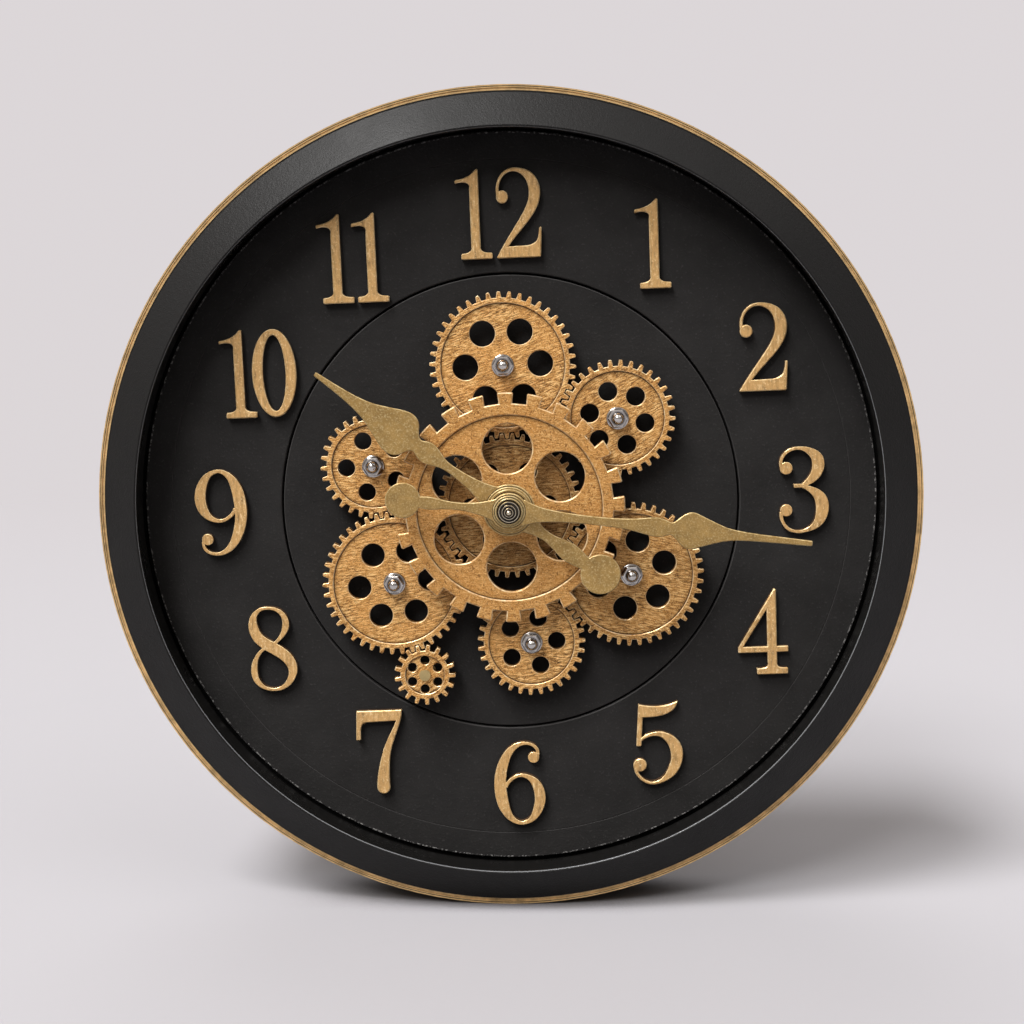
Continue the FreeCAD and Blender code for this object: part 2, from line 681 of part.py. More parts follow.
BOWL_SIX_SHARES = [
    (0.521, 0.831, 0.037), (0.485, 0.940, 0.037), (0.366, 0.980, 0.040), (0.225, 0.921, 0.073),
    (0.127, 0.775, 0.113), (0.072, 0.577, 0.135), (0.073, 0.380, 0.141), (0.115, 0.197, 0.118),
    (0.197, 0.070, 0.068), (0.296, 0.022, 0.042),
]
LOOP_SIX_SHARES = [
    (0.197, 0.070, 0.060), (0.296, 0.022, 0.042), (0.408, 0.056, 0.062), (0.493, 0.169, 0.107),
    (0.530, 0.324, 0.127), (0.493, 0.479, 0.107), (0.408, 0.569, 0.062), (0.310, 0.597, 0.042),
    (0.211, 0.560, 0.040), (0.130, 0.455, 0.040),
]
GLYPH_SHARES = {
    "0": {"rings": [(0.253, 0.500, 0.253, 0.500, 0.130, 0.430)]},
    "1": {"outlines": [[
        (0.272, 1.000), (0.272, 0.140), [(0.285, 0.095), (0.325, 0.075), (0.403, 0.067)],
        (0.403, 0.000), (0.050, 0.000), (0.050, 0.067), [(0.120, 0.075), (0.155, 0.095), (0.167, 0.140)],
        (0.167, 0.780), [(0.155, 0.840), (0.110, 0.857), (0.008, 0.845)], (0.008, 0.887),
        [(0.110, 0.905), (0.190, 0.945), (0.245, 1.000)]]]},
    "2": {"balls": [(0.090, 0.681, 0.072)],
          "strokes": [[
              (0.046, 0.690, 0.040), (0.040, 0.804, 0.036), (0.095, 0.918, 0.036), (0.204, 0.978, 0.038),
              (0.313, 0.967, 0.055), (0.422, 0.899, 0.105), (0.480, 0.777, 0.135), (0.463, 0.613, 0.130),
              (0.362, 0.444, 0.105), (0.232, 0.286, 0.075), (0.114, 0.136, 0.055), (0.041, 0.033, 0.045)]],
          "outlines": [[
              (0.000, 0.000), (0.535, 0.000), (0.556, 0.335), (0.528, 0.335),
              [(0.515, 0.250), (0.490, 0.185), (0.440, 0.150), (0.360, 0.133)],
              (0.090, 0.128), (0.010, 0.030)]]},
    "3": {"balls": [(0.100, 0.756, 0.072), (0.092, 0.272, 0.070)],
          "strokes": [[
              (0.047, 0.765, 0.038), (0.062, 0.890, 0.038), (0.147, 0.963, 0.038), (0.258, 0.980, 0.040),
              (0.383, 0.935, 0.090), (0.461, 0.840, 0.138), (0.456, 0.728, 0.132), (0.389, 0.625, 0.095),
              (0.290, 0.560, 0.045)], [
              (0.280, 0.545, 0.040), (0.403, 0.486, 0.085), (0.489, 0.389, 0.140), (0.503, 0.258, 0.145),
              (0.453, 0.125, 0.105), (0.342, 0.044, 0.050), (0.230, 0.022, 0.036), (0.119, 0.053, 0.036),
              (0.050, 0.139, 0.038), (0.036, 0.250, 0.038)]],
          "outlines": [[(0.183, 0.528), (0.340, 0.528), (0.340, 0.572), (0.183, 0.572)]]},
    "4": {"outlines": [[
        (0.448, 1.000), (0.448, 0.331), (0.580, 0.331), (0.580, 0.260), (0.448, 0.260), (0.448, 0.140),
        [(0.460, 0.095), (0.495, 0.080), (0.572, 0.075)], (0.572, 0.000), (0.213, 0.000), (0.213, 0.075),
        [(0.290, 0.080), (0.327, 0.095), (0.337, 0.140)], (0.337, 0.260), (0.000, 0.260), (0.000, 0.325),
        (0.420, 1.000)]],
          "windows": [[(0.337, 0.765), (0.337, 0.331), (0.058, 0.331)]]},
    "5": {"balls": [(0.090, 0.245, 0.078)],
          "strokes": [[
              (0.105, 0.540, 0.034), (0.203, 0.600, 0.045), (0.315, 0.612, 0.060), (0.428, 0.560, 0.100),
              (0.513, 0.437, 0.141), (0.518, 0.296, 0.135), (0.456, 0.155, 0.110), (0.344, 0.056, 0.055),
              (0.231, 0.025, 0.040), (0.118, 0.070, 0.038), (0.045, 0.169, 0.040), (0.034, 0.245, 0.040)]],
          "outlines": [[
              (0.090, 0.972), [(0.273, 0.944), (0.430, 0.958), (0.549, 1.000)],
              [(0.500, 0.900), (0.410, 0.845), (0.310, 0.820), (0.138, 0.812)], (0.118, 0.577),
              (0.115, 0.470), (0.053, 0.470)]]},
    "6": {"balls": [(0.470, 0.808, 0.066)], "strokes": [BOWL_SIX_SHARES, LOOP_SIX_SHARES]},
    "7": {"balls": [(0.296, 0.076, 0.076)],
          "strokes": [[
              (0.525, 0.960, 0.045), (0.501, 0.873, 0.050), (0.431, 0.704, 0.068), (0.361, 0.535, 0.090),
              (0.318, 0.338, 0.118), (0.296, 0.150, 0.148), (0.296, 0.076, 0.152)]],
          "outlines": [[
              (0.017, 1.000), (0.550, 1.000), (0.545, 0.955), (0.500, 0.872), (0.130, 0.860),
              [(0.085, 0.840), (0.062, 0.790), (0.052, 0.650)], (0.000, 0.650)]]},
    "8": {"strokes": [[
        (0.270, 0.545, 0.040), (0.377, 0.642, 0.050), (0.439, 0.768, 0.078), (0.425, 0.880, 0.065),
        (0.355, 0.955, 0.045), (0.249, 0.983, 0.034), (0.159, 0.972, 0.040)], [
        (0.249, 0.983, 0.034), (0.159, 0.972, 0.040), (0.089, 0.915, 0.062), (0.059, 0.790, 0.105),
        (0.117, 0.634, 0.125), (0.271, 0.517, 0.135), (0.425, 0.405, 0.130), (0.494, 0.279, 0.110),
        (0.466, 0.140, 0.080), (0.397, 0.061, 0.055), (0.277, 0.022, 0.037)], [
        (0.397, 0.061, 0.050), (0.277, 0.022, 0.037), (0.154, 0.050, 0.045), (0.068, 0.140, 0.070),
        (0.046, 0.265, 0.075), (0.081, 0.405, 0.050), (0.185, 0.515, 0.040)]]},
}
NUMERAL_GLYPHS = {12: "12", 10: "10", 11: "11"}
NUMERAL_PLACE_SHARES = {
    12: (0.000, 0.995), 1: (0.520, 0.873), 2: (0.886, 0.510), 3: (1.016, 0.013),
    4: (0.865, -0.481), 5: (0.487, -0.865), 6: (-0.005, -0.994), 7: (-0.493, -0.864),
    8: (-0.852, -0.479), 9: (-1.005, 0.009), 10: (-0.848, 0.485), 11: (-0.504, 0.864),
}
SECOND_GLYPH_SHARES = {"12": (0.450, 0.93), "10": (0.370, 1.0), "11": (0.397, 1.0)}
SPAN_POINTS = 4


def smooth(points):
    """A smooth edge through points in the plane of the dial."""
    curve = Part.BSplineCurve()
    curve.interpolate(points)
    return curve.toShape()


def flat(across, up):
    return Vector(across, 0, up)


def stroke_face(stations, size):
    """The face that a pen of changing width leaves along stations of (across, up, width)."""
    middle = Part.BSplineCurve()
    middle.interpolate([Vector(across, up, width) * size for across, up, width in stations])
    steps = SPAN_POINTS * (len(stations) - 1)
    left, right = [], []
    for step in range(steps + 1):
        spot = middle.FirstParameter + (middle.LastParameter - middle.FirstParameter) * step / steps
        point, heading = middle.value(spot), middle.tangent(spot)[0]
        side = Vector(-heading.y, heading.x, 0).normalize() * (point.z / 2)
        left.append(flat(point.x + side.x, point.y + side.y))
        right.append(flat(point.x - side.x, point.y - side.y))
    edges = [smooth(left), Part.makeLine(left[-1], right[-1]), smooth(right[::-1]),
             Part.makeLine(right[0], left[0])]
    return Part.Face(Part.Wire(edges))


def outline_face(corners, size):
    """A face inside corners: a pair is reached by a line, a list of pairs by one curve."""
    last = corners[-1][-1] if isinstance(corners[-1], list) else corners[-1]
    here = flat(last[0] * size, last[1] * size)
    edges = []
    for corner in corners:
        if isinstance(corner, list):
            points = [here] + [flat(across * size, up * size) for across, up in corner]
            edges.append(smooth(points))
            here = points[-1]
        else:
            following = flat(corner[0] * size, corner[1] * size)
            edges.append(Part.makeLine(here, following))
            here = following
    return Part.Face(Part.Wire(edges))


def disc_face(across, up, radius, size):
    circle = Part.Circle(flat(across * size, up * size), Vector(0, -1, 0), radius * size)
    return Part.Face(Part.Wire(circle.toShape()))


def oval_wire(across, up, wide, tall, size):
    oval = Part.Ellipse(Vector(0, 0, 0), tall * size, wide * size).toShape()
    upright = Rotation(Vector(0, 0, 1), Vector(0, -1, 0)) * Rotation(Vector(0, 0, 1), 90)
    oval.Placement = Placement(flat(across * size, up * size), upright)
    return Part.Wire(oval)


def glyph_solid(letter, size, thickness):
    """One raised digit, its lower left corner at the origin."""
    if letter == "9":
        six = glyph_solid("6", size, thickness)
        box = six.BoundBox
        six.rotate(flat((box.XMin + box.XMax) / 2, (box.ZMin + box.ZMax) / 2), Vector(0, 1, 0), 180)
        return six
    shares = GLYPH_SHARES[letter]
    rise = Vector(0, -thickness, 0)
    faces = [disc_face(*ball, size) for ball in shares.get("balls", [])]
    faces += [stroke_face(stroke, size) for stroke in shares.get("strokes", [])]
    faces += [outline_face(outline, size) for outline in shares.get("outlines", [])]
    solids = [face.extrude(rise) for face in faces]
    for across, up, wide, tall, inner_wide, inner_tall in shares.get("rings", []):
        outer = Part.Face(oval_wire(across, up, wide, tall, size)).extrude(rise)
        inner = Part.Face(oval_wire(across, up, inner_wide, inner_tall, size)).extrude(rise)
        solids.append(outer.cut(inner))
    whole = solids[0].multiFuse(solids[1:]).removeSplitter() if len(solids) > 1 else solids[0]
    for window in shares.get("windows", []):
        whole = whole.cut(outline_face(window, size).extrude(rise))
    return whole


def numeral(hour):
    """The digits of one hour, side by side, centred on their place on the dial."""
    size, thickness = amount("numeral_size"), amount("numeral_height")
    text = NUMERAL_GLYPHS.get(hour, str(hour))
    digits = [glyph_solid(text[0], size, thickness)]
    if len(text) == 2:
        shift_share, narrow_share = SECOND_GLYPH_SHARES[text]
        squeeze = FreeCAD.Matrix()
        squeeze.scale(narrow_share, 1, 1)
        second = glyph_solid(text[1], size, thickness)
        if narrow_share != 1:
            second = second.transformGeometry(squeeze)
        second.translate(Vector(shift_share * size, 0, 0))
        digits.append(second)
    box = Part.makeCompound(digits).BoundBox
    middle = flat(-(box.XMin + box.XMax) / 2, -(box.ZMin + box.ZMax) / 2)
    for digit in digits:
        digit.translate(middle)
    across_share, up_share = NUMERAL_PLACE_SHARES[hour]
    thing = grouped(f"numeral_{hour}", digits)
    return seat(thing, f"{NUMERAL_CIRCLE} * {across_share}", f"{NUMERAL_CIRCLE} * {up_share}")


# Gears


def cut_teeth(body, module, teeth, thickness, turn="0", low="0"):
    """Cuts the gaps between straight-sided teeth, a tooth standing at the given turn."""
    pitch_radius = f"{module} * {teeth} / 2"
    tip = f"{pitch_radius} + {module} * addendum_share"
    root = f"{pitch_radius} - {module} * dedendum_share"
    pitch = f"pi * {module}"
    flare = f"{pitch} * (tip_gap_share - root_gap_share) / 2 / (addendum_share + dedendum_share)"
    beyond = f"{tip} + {module}"
    wide = f"{pitch} * tip_gap_share / 2 + {flare}"
    narrow = f"{pitch} * root_gap_share / 2"
    sketch = new_sketch(body, "XZ_Plane", f"{low} + {thickness}", f"{turn} + 180 / {teeth}")
    draw_outline(sketch, [(root, f"-({narrow})"), (beyond, f"-({wide})"), (beyond, wide), (root, narrow)])
    gap = cut(body, sketch, thickness)
    repeat_around(body, gap, sketch, teeth)


def gear_blank(body, module, teeth, thickness, bore, low="0"):
    sketch = new_sketch(body, "XZ_Plane", low)
    draw_circle(sketch, f"{module} * ({teeth} / 2 + addendum_share)")
    draw_circle(sketch, bore)
    pad(body, sketch, thickness)


def plain_gear(label, module, teeth, thickness, bore, turn="0"):
    body = new_body(label)
    gear_blank(body, module, teeth, thickness, bore)
    cut_teeth(body, module, teeth, thickness, turn)
    return body


def lighten(body, prefix, web, top):
    """A ring of round holes through the web: a margin inside its edge, spokes between them."""
    half_step = f"sin(180 / {prefix}_hole_count)"
    circle = f"(({web}) - {prefix}_hole_margin + {prefix}_spoke / 2) / (1 + {half_step})"
    sketch = new_sketch(body, "XZ_Plane", top, f"{prefix}_hole_turn")
    draw_circle(sketch, f"{circle} * {half_step} - {prefix}_spoke / 2", circle)
    repeat_around(body, cut(body, sketch), sketch, f"{prefix}_hole_count")


def wooden_gear(name, bore):
    """A fine wooden gear: raised rim, sunk web with round holes, and a bore for its post."""
    label = f"{name}_gear"
    body = plain_gear(label, "gear_module", f"{name}_teeth", "gear_thickness", bore, GEAR_TURNS[name])
    rim = f"gear_module * ({name}_teeth / 2 - dedendum_share) - gear_rim"
    sketch = new_sketch(body, "XZ_Plane", "gear_thickness")
    draw_circle(sketch, rim)
    cut(body, sketch, "gear_recess")
    lighten(body, name, rim, "gear_thickness")
    return seat(body, *GEAR_PLACES[name], "gear_height")


COARSE_RADIUS = "(gear_module * (sun_teeth + top_teeth) / 2 - coarse_inset)"


def coarse_gear():
    """The large wheel in front: square teeth, a sunk web and six large round holes."""
    body = new_body("coarse_gear")
    blank = new_sketch(body, "XZ_Plane")
    draw_circle(blank, COARSE_RADIUS)
    draw_circle(blank, "sleeve_radius")
    pad(body, blank, "coarse_thickness")
    gaps = new_sketch(body, "XZ_Plane", "coarse_thickness", "coarse_hole_turn + 180 / coarse_teeth")
    root, beyond = f"{COARSE_RADIUS} - coarse_tooth_depth", f"{COARSE_RADIUS} + overrun"
    half = "coarse_gap / 2"
    draw_outline(gaps, [(root, f"-{half}"), (beyond, f"-{half}"), (beyond, half), (root, half)])
    repeat_around(body, cut(body, gaps), gaps, "coarse_teeth")
    web = f"{root} - coarse_rim"
    recess = new_sketch(body, "XZ_Plane", "coarse_thickness")
    draw_circle(recess, web)
    cut(body, recess, "coarse_recess")
    lighten(body, "coarse", web, "coarse_thickness")
    return seat(body, height="coarse_height")


def centre_sleeve():
    """The tube that joins both middle wheels, turning freely on the neck."""
    low = "neck_nut_height + end_play"
    high = "neck_top - collar_height - end_play"
    bore = "neck_radius + running_clearance"
    return tube("centre_sleeve", bore, "sleeve_radius", low, high)


def gear_posts():
    """Shouldered studs pressed through plate and board, and the small pin of the tiny gear."""
    low = f"-({BOARD_BACK})"
    head = "gear_height + gear_thickness - gear_recess + end_play"
    top = f"{head} + washer_thickness + domed_nut_height"
    post = turned("post_form", [
        ("0", low), ("stud_radius", low), ("stud_radius", "0"), ("shoulder_radius", "0"),
        ("shoulder_radius", "gear_height - end_play"), ("stud_radius", "gear_height - end_play"),
        ("stud_radius", top), ("0", top),
    ])
    crown = f"{head} + tiny_pin_head_height"
    pin = turned("pin_form", [
        ("0", low), ("tiny_pin_radius", low), ("tiny_pin_radius", "0"), ("shoulder_radius", "0"),
        ("shoulder_radius", "gear_height - end_play"), ("tiny_pin_radius", "gear_height - end_play"),
        ("tiny_pin_radius", head), ("tiny_pin_head_radius", head),
        ("tiny_pin_head_radius", crown), ("0", crown),
    ])
    places = [GEAR_PLACES[name] for name in POST_GEARS]
    posts = copies("post_set", post, places)
    pins = copies("pin_set", pin, [GEAR_PLACES["tiny"]])
    return grouped("gear_posts", [posts.Shape, pins.Shape])


def washer_form(label, bore):
    """A washer with a worn, rounded outer edge, lying on the web of a gear."""
    edge = "washer_thickness / 3"
    return turned(label, [
        (bore, "0"), ("washer_radius", "0"), ("washer_radius", edge),
        (f"washer_radius - {edge}", "washer_thickness"), (bore, "washer_thickness"),
    ])


def domed_nut_form(label):
    """A hexagon nut with a domed closed end, blind for its stud."""
    body = new_body(label)
    hexagon = new_sketch(body, "XZ_Plane")
    draw_hexagon(hexagon, "domed_nut_flats")
    pad(body, hexagon, "domed_nut_height")
    revolve(body, [
        ("0", "domed_nut_height"), ("dome_radius", "domed_nut_height"),
        ("0", "domed_nut_height + dome_radius", "dome_radius", "0", "domed_nut_height"),
    ])
    bore = new_sketch(body, "XZ_Plane")
    draw_circle(bore, "stud_radius")
    cut(body, bore, "domed_nut_height", True)
    return body


def drive_arbor():
    """The motor unit's output shaft, with a collar under the top gear."""
    top = "gear_height + gear_thickness - gear_recess + washer_thickness + domed_nut_height"
    low = "-(drive_wheel_depth + drive_wheel_thickness)"
    return seat(turned("drive_arbor", [
        ("0", low), ("stud_radius", low), ("stud_radius", "clear_gap"),
        ("shoulder_radius", "clear_gap"), ("shoulder_radius", "gear_height"),
        ("stud_radius", "gear_height"), ("stud_radius", top), ("0", top),
    ]), *GEAR_PLACES["top"])


# Neck, hands and their arbors


def movement_bush():
    low = f"-({BOARD_BACK} + module_wall)"
    return tube("movement_bush", "pipe_radius + running_clearance", "neck_radius", low, "neck_top")


def neck_nut():
    body = new_body("neck_nut")
    sketch = new_sketch(body, "XZ_Plane")
    draw_hexagon(sketch, "neck_nut_flats")
    draw_circle(sketch, "neck_radius")
    pad(body, sketch, "neck_nut_height")
    return seat(body)


def neck_collar():
    return tube("neck_collar", "neck_radius", "collar_radius", "neck_top - collar_height", "neck_top")


def hand_outline(stations, size):
    """The face of one arm that points up, from the half-widths along it."""
    points = [flat(half * size, along * size) for along, half in stations]
    mirrored = [flat(-point.x, point.z) for point in points[::-1]]
    edges = [smooth(points), Part.makeLine(points[-1], mirrored[0]), smooth(mirrored),
             Part.makeLine(mirrored[-1], points[0])]
    return Part.Face(Part.Wire(edges))


# Distance along the arm and half-width there, in shares of the arm's length
HOUR_ARM_SHARES = [
    (0.060, 0.075), (0.120, 0.045), (0.190, 0.028), (0.290, 0.018), (0.345, 0.022), (0.390, 0.039),
    (0.420, 0.046), (0.450, 0.040), (0.476, 0.030), (0.498, 0.045), (0.520, 0.079), (0.555, 0.098),
    (0.610, 0.089), (0.670, 0.063), (0.735, 0.038), (0.805, 0.024), (0.880, 0.016), (0.960, 0.011),
    (1.000, 0.009),
]
HOUR_TAIL_SHARES = [
    (0.120, 0.140), (0.260, 0.072), (0.420, 0.045), (0.560, 0.070), (0.660, 0.086), (0.740, 0.078),
    (0.800, 0.066), (0.900, 0.070),
]
MINUTE_ARM_SHARES = [
    (0.045, 0.045), (0.100, 0.026), (0.170, 0.017), (0.250, 0.0138), (0.330, 0.0145), (0.400, 0.019),
    (0.450, 0.027), (0.487, 0.032), (0.515, 0.027), (0.535, 0.021), (0.555, 0.034), (0.575, 0.052),
    (0.597, 0.061), (0.630, 0.053), (0.670, 0.038), (0.720, 0.022), (0.780, 0.0145), (0.860, 0.0115),
    (0.940, 0.0100), (1.000, 0.0085),
]
MINUTE_TAIL_SHARES = [
    (0.120, 0.110), (0.280, 0.060), (0.460, 0.036), (0.640, 0.046), (0.780, 0.060), (0.860, 0.052),
    (0.930, 0.060),
]


def hand(label, arm_shares, tail_shares, bore, height, turn):
    """A flat spade hand with a counterweight disc, a ringed boss and a collet behind."""
    kind = label.split("_")[0]
    length, tail = amount(f"{kind}_length"), amount(f"{kind}_tail")
    boss, rise = amount(f"{kind}_boss_radius"), amount(f"{kind}_boss_rise")
    thickness, ring = amount("hand_thickness"), amount("boss_ring_width")
    forward, axis = Vector(0, -1, 0), Vector(0, -1, 0)
    arm = hand_outline(arm_shares, length).extrude(forward * thickness)
    rear = hand_outline(tail_shares, tail).extrude(forward * thickness)
    rear.rotate(Vector(0, 0, 0), axis, 180)
    disc = Part.makeCylinder(amount(f"{kind}_tail_radius"), thickness, flat(0, -tail), axis)
    hub = Part.makeCylinder(boss, thickness, Vector(0, 0, 0), axis)
    pieces = [arm, rear, disc]
    for step, share in enumerate((1, 2)):
        radius = boss - share * ring
        pieces.append(Part.makeCylinder(radius, thickness + rise * share / 2, Vector(0, 0, 0), axis))
    collet = Part.makeCylinder(amount("collet_radius"), amount("collet_length"), Vector(0, 0, 0), -axis)
    whole = hub.multiFuse(pieces + [collet])
    reach = thickness + rise + amount("overrun")
    hole = Part.makeCylinder(amount(bore), 2 * reach + amount("collet_length"),
                             Vector(0, reach, 0), axis)
    thing = doc.addObject("Part::Feature", label)
    thing.Label = label
    thing.Shape = whole.cut(hole).removeSplitter()
    thing.Placement = Placement(Vector(0, 0, 0), Rotation(Vector(0, 1, 0), 1))
    bind(thing, "Placement.Rotation.Angle", turn)
    return seat(thing, height=height)


# Radius and height of each step of the nut on the tip, in shares of the nut's own
NUT_STEP_SHARES = [(1.0, 0.0), (1.0, 0.22), (0.80, 0.30), (0.76, 0.48), (0.50, 0.56)]


def hand_nut():
    """A small stepped nut with a domed tip on the end of the minute arbor."""
    radius, tall = "tip_nut_radius", "tip_nut_height"
    base = "minute_height + hand_thickness + minute_boss_rise"
    bore_top = f"{base} + {tall} / 2"
    dome = f"{radius} * tip_dome_share"
    steps = [(f"{radius} * {out}", f"{base} + {tall} * {up}") for out, up in NUT_STEP_SHARES]
    return turned("hand_nut", [("arbor_radius", base)] + steps + [
        (dome, f"{base} + {tall} - {dome}"),
        ("0", f"{base} + {tall}", dome, "0", f"{base} + {tall} - {dome}"),
        ("0", bore_top), ("arbor_radius", bore_top),
    ])


def joined(label, pieces):
    """One piece made of several forms that meet each other."""
    thing = doc.addObject("Part::MultiFuse", label)
    thing.Label = label
    thing.Shapes = pieces
    thing.Refine = True
    return thing


# Depths inside the movement, from the board back
MOTION_MODULE = "2 * motion_distance / (cannon_teeth + motion_teeth)"
HOUR_MODULE = "2 * motion_distance / (motion_pinion_teeth + hour_wheel_teeth)"
HOUR_WHEEL_DEPTH = f"{BOARD_BACK} + module_wall + end_play + motion_wheel_thickness"
MOTION_DEPTH = f"{HOUR_WHEEL_DEPTH} + 2 * end_play + motion_wheel_thickness"
LID_FRONT = f"{MODULE_BACK} - lid_thickness"


def hour_wheel():
    """The hour hand's pipe with its wheel at the rear end."""
    turn = meshing_turn("motion_pinion_teeth", "0", "270", "hour_wheel_teeth")
    wheel = plain_gear("hour_wheel_rim", HOUR_MODULE, "hour_wheel_teeth", "motion_wheel_thickness",
                       "pipe_radius", turn)
    seat(wheel, height=f"-({HOUR_WHEEL_DEPTH})")
    pipe = tube("hour_pipe", "arbor_radius + running_clearance", "pipe_radius",
                f"-({HOUR_WHEEL_DEPTH})", "hour_height + hand_thickness + hour_boss_rise")
    seat(pipe)
    return joined("hour_wheel", [wheel, pipe])


def minute_arbor():
    """The minute hand's steel arbor with the pinion that drives the motion work."""
    turn = meshing_turn("motion_teeth", "0", "270", "cannon_teeth")
    pinion = plain_gear("cannon_pinion", MOTION_MODULE, "cannon_teeth", "motion_wheel_thickness",
                        "arbor_radius", turn)
    seat(pinion, height=f"-({MOTION_DEPTH})")
    top = "minute_height + hand_thickness + minute_boss_rise + tip_nut_height / 2"
    arbor = turned("arbor_rod", [
        ("0", f"-({MOTION_DEPTH})"), ("arbor_radius", f"-({MOTION_DEPTH})"),
        ("arbor_radius", top), ("0", top),
    ])
    seat(arbor)
    return joined("minute_arbor", [pinion, arbor])


def motion_wheel():
    """The wheel and pinion between the two hands, turning on a post of the movement."""
    bore = "motion_post_radius + running_clearance"
    wheel = plain_gear("motion_rim", MOTION_MODULE, "motion_teeth", "motion_wheel_thickness", bore)
    seat(wheel, up="motion_distance", height=f"-({MOTION_DEPTH})")
    length = f"({MOTION_DEPTH}) - ({HOUR_WHEEL_DEPTH})"
    pinion = plain_gear("motion_pinion", HOUR_MODULE, "motion_pinion_teeth", length, bore)
    seat(pinion, up="motion_distance", height=f"-({MOTION_DEPTH} - motion_wheel_thickness)")
    return joined("motion_wheel", [wheel, pinion])


def setting_knob():
    """The thumb wheel at the back that sets the hands, with its pinion inside."""
    turn = meshing_turn("motion_teeth", "0", "90", "setting_teeth")
    pinion = plain_gear("setting_pinion", MOTION_MODULE, "setting_teeth", "motion_wheel_thickness",
                        "arbor_radius", turn)
    seat(pinion, up="2 * motion_distance", height=f"-({MOTION_DEPTH})")
    back = f"{MODULE_BACK} + clear_gap"
    spindle = turned("setting_spindle", [
        ("0", f"-({MOTION_DEPTH})"), ("0", f"-({back} + knob_thickness)"),
        ("knob_radius", f"-({back} + knob_thickness)"), ("knob_radius", f"-({back})"),
        ("arbor_radius", f"-({back})"), ("arbor_radius", f"-({MOTION_DEPTH} - motion_wheel_thickness)"),
        ("0", f"-({MOTION_DEPTH} - motion_wheel_thickness)"),
    ])
    notch = new_sketch(spindle, "XZ_Plane", f"-({back})")
    draw_circle(notch, "knob_notch_radius", "knob_radius")
    repeat_around(spindle, cut(spindle, notch), notch, "knob_notch_count")
    seat(spindle, up="2 * motion_distance")
    return joined("setting_knob", [pinion, spindle])


# Battery modules


def round_box(sketch, width, tall, corner):
    """A rectangle with round corners, centred on the sketch."""
    w, t = f"({width}) / 2", f"({tall}) / 2"
    corners = []
    for east, north in ((1, -1), (1, 1), (-1, 1), (-1, -1)):
        across, up = f"{east} * ({w})", f"{north} * ({t})"
        centre = (f"{east} * ({w} - {corner})", f"{north} * ({t} - {corner})")
        first, second = (centre[0], up), (across, centre[1])
        if east != north:
            corners += [first, second + (corner,) + centre]
        else:
            corners += [second, first + (corner,) + centre]
    draw_outline(sketch, corners)


def module_case(label, width, tall, bay_up, works_low, works_high):
    """A plastic box, open at the back: a bay for the cell and a well for the works."""
    body = new_body(label)
    shell = new_sketch(body, "XZ_Plane", f"-({MODULE_BACK})")
    round_box(shell, width, tall, "module_corner")
    pad(body, shell, "movement_depth")
    bay = new_sketch(body, "XZ_Plane", f"-({MODULE_BACK})")
    draw_box(bay, "bay_length", "bay_height", "0", bay_up)
    cut(body, bay, "movement_depth - module_wall", True)
    well = new_sketch(body, "XZ_Plane", f"-({MODULE_BACK})")
    draw_box(well, f"{width} - 2 * module_wall", f"({works_high}) - ({works_low})", "0",
             f"(({works_high}) + ({works_low})) / 2")
    cut(body, well, "movement_depth - module_wall", True)
    return body


def module_lid(label, width, works_low, works_high):
    """The plate that closes the well of a module, let in flush with its back."""
    body = new_body(label)
    sketch = new_sketch(body, "XZ_Plane", f"-({MODULE_BACK})")
    draw_box(sketch, f"{width} - 2 * module_wall - 2 * lid_fit",
             f"({works_high}) - ({works_low}) - 2 * lid_fit", "0", f"(({works_high}) + ({works_low})) / 2")
    pad(body, sketch, "lid_thickness")
    return body


MOVEMENT_BAY = "-(movement_side / 2 - bay_margin - bay_height / 2)"
MOVEMENT_LOW = "-(movement_side / 2 - 2 * bay_margin - bay_height)"
MOVEMENT_HIGH = "movement_side / 2 - module_wall"
MOTOR_BAY = "motor_height / 2 - bay_margin - bay_height / 2"
MOTOR_LOW = "-(motor_height / 2 - module_wall)"
MOTOR_HIGH = "motor_height / 2 - 2 * bay_margin - bay_height"


def movement_case():
    body = module_case("movement_case", "movement_side", "movement_side", MOVEMENT_BAY,
                       MOVEMENT_LOW, MOVEMENT_HIGH)
    post = new_sketch(body, "XZ_Plane", f"-({LID_FRONT})")
    draw_circle(post, "motion_post_radius", "0", "motion_distance")
    pad(body, post, f"({LID_FRONT}) - ({BOARD_BACK})")
    bore_holes(body, "neck_radius", [("0", "0")])
    return seat(body)


def movement_lid():
    body = module_lid("movement_lid", "movement_side", MOVEMENT_LOW, MOVEMENT_HIGH)
    bore_holes(body, "arbor_radius + running_clearance", [("0", "2 * motion_distance")])
    return seat(body)


def motor_place():
    across, up = GEAR_PLACES["top"]
    return across, f"{up} + motor_centre_rise"


def motor_case():
    body = module_case("motor_case", "motor_side", "motor_height", MOTOR_BAY, MOTOR_LOW, MOTOR_HIGH)
    bore_holes(body, "stud_radius + running_clearance", [("0", "-motor_centre_rise")])
    return seat(body, *motor_place())


def motor_lid():
    body = module_lid("motor_lid", "motor_side", MOTOR_LOW, MOTOR_HIGH)
    slot = new_sketch(body, "XZ_Plane", "overrun")
    gap = "2 * switch_fit"
    draw_box(slot, f"switch_width + switch_travel + {gap}", f"switch_height + {gap}",
             "switch_across + switch_travel / 2", "-(motor_centre_rise + switch_drop)")
    cut(body, slot)
    return seat(body, *motor_place())


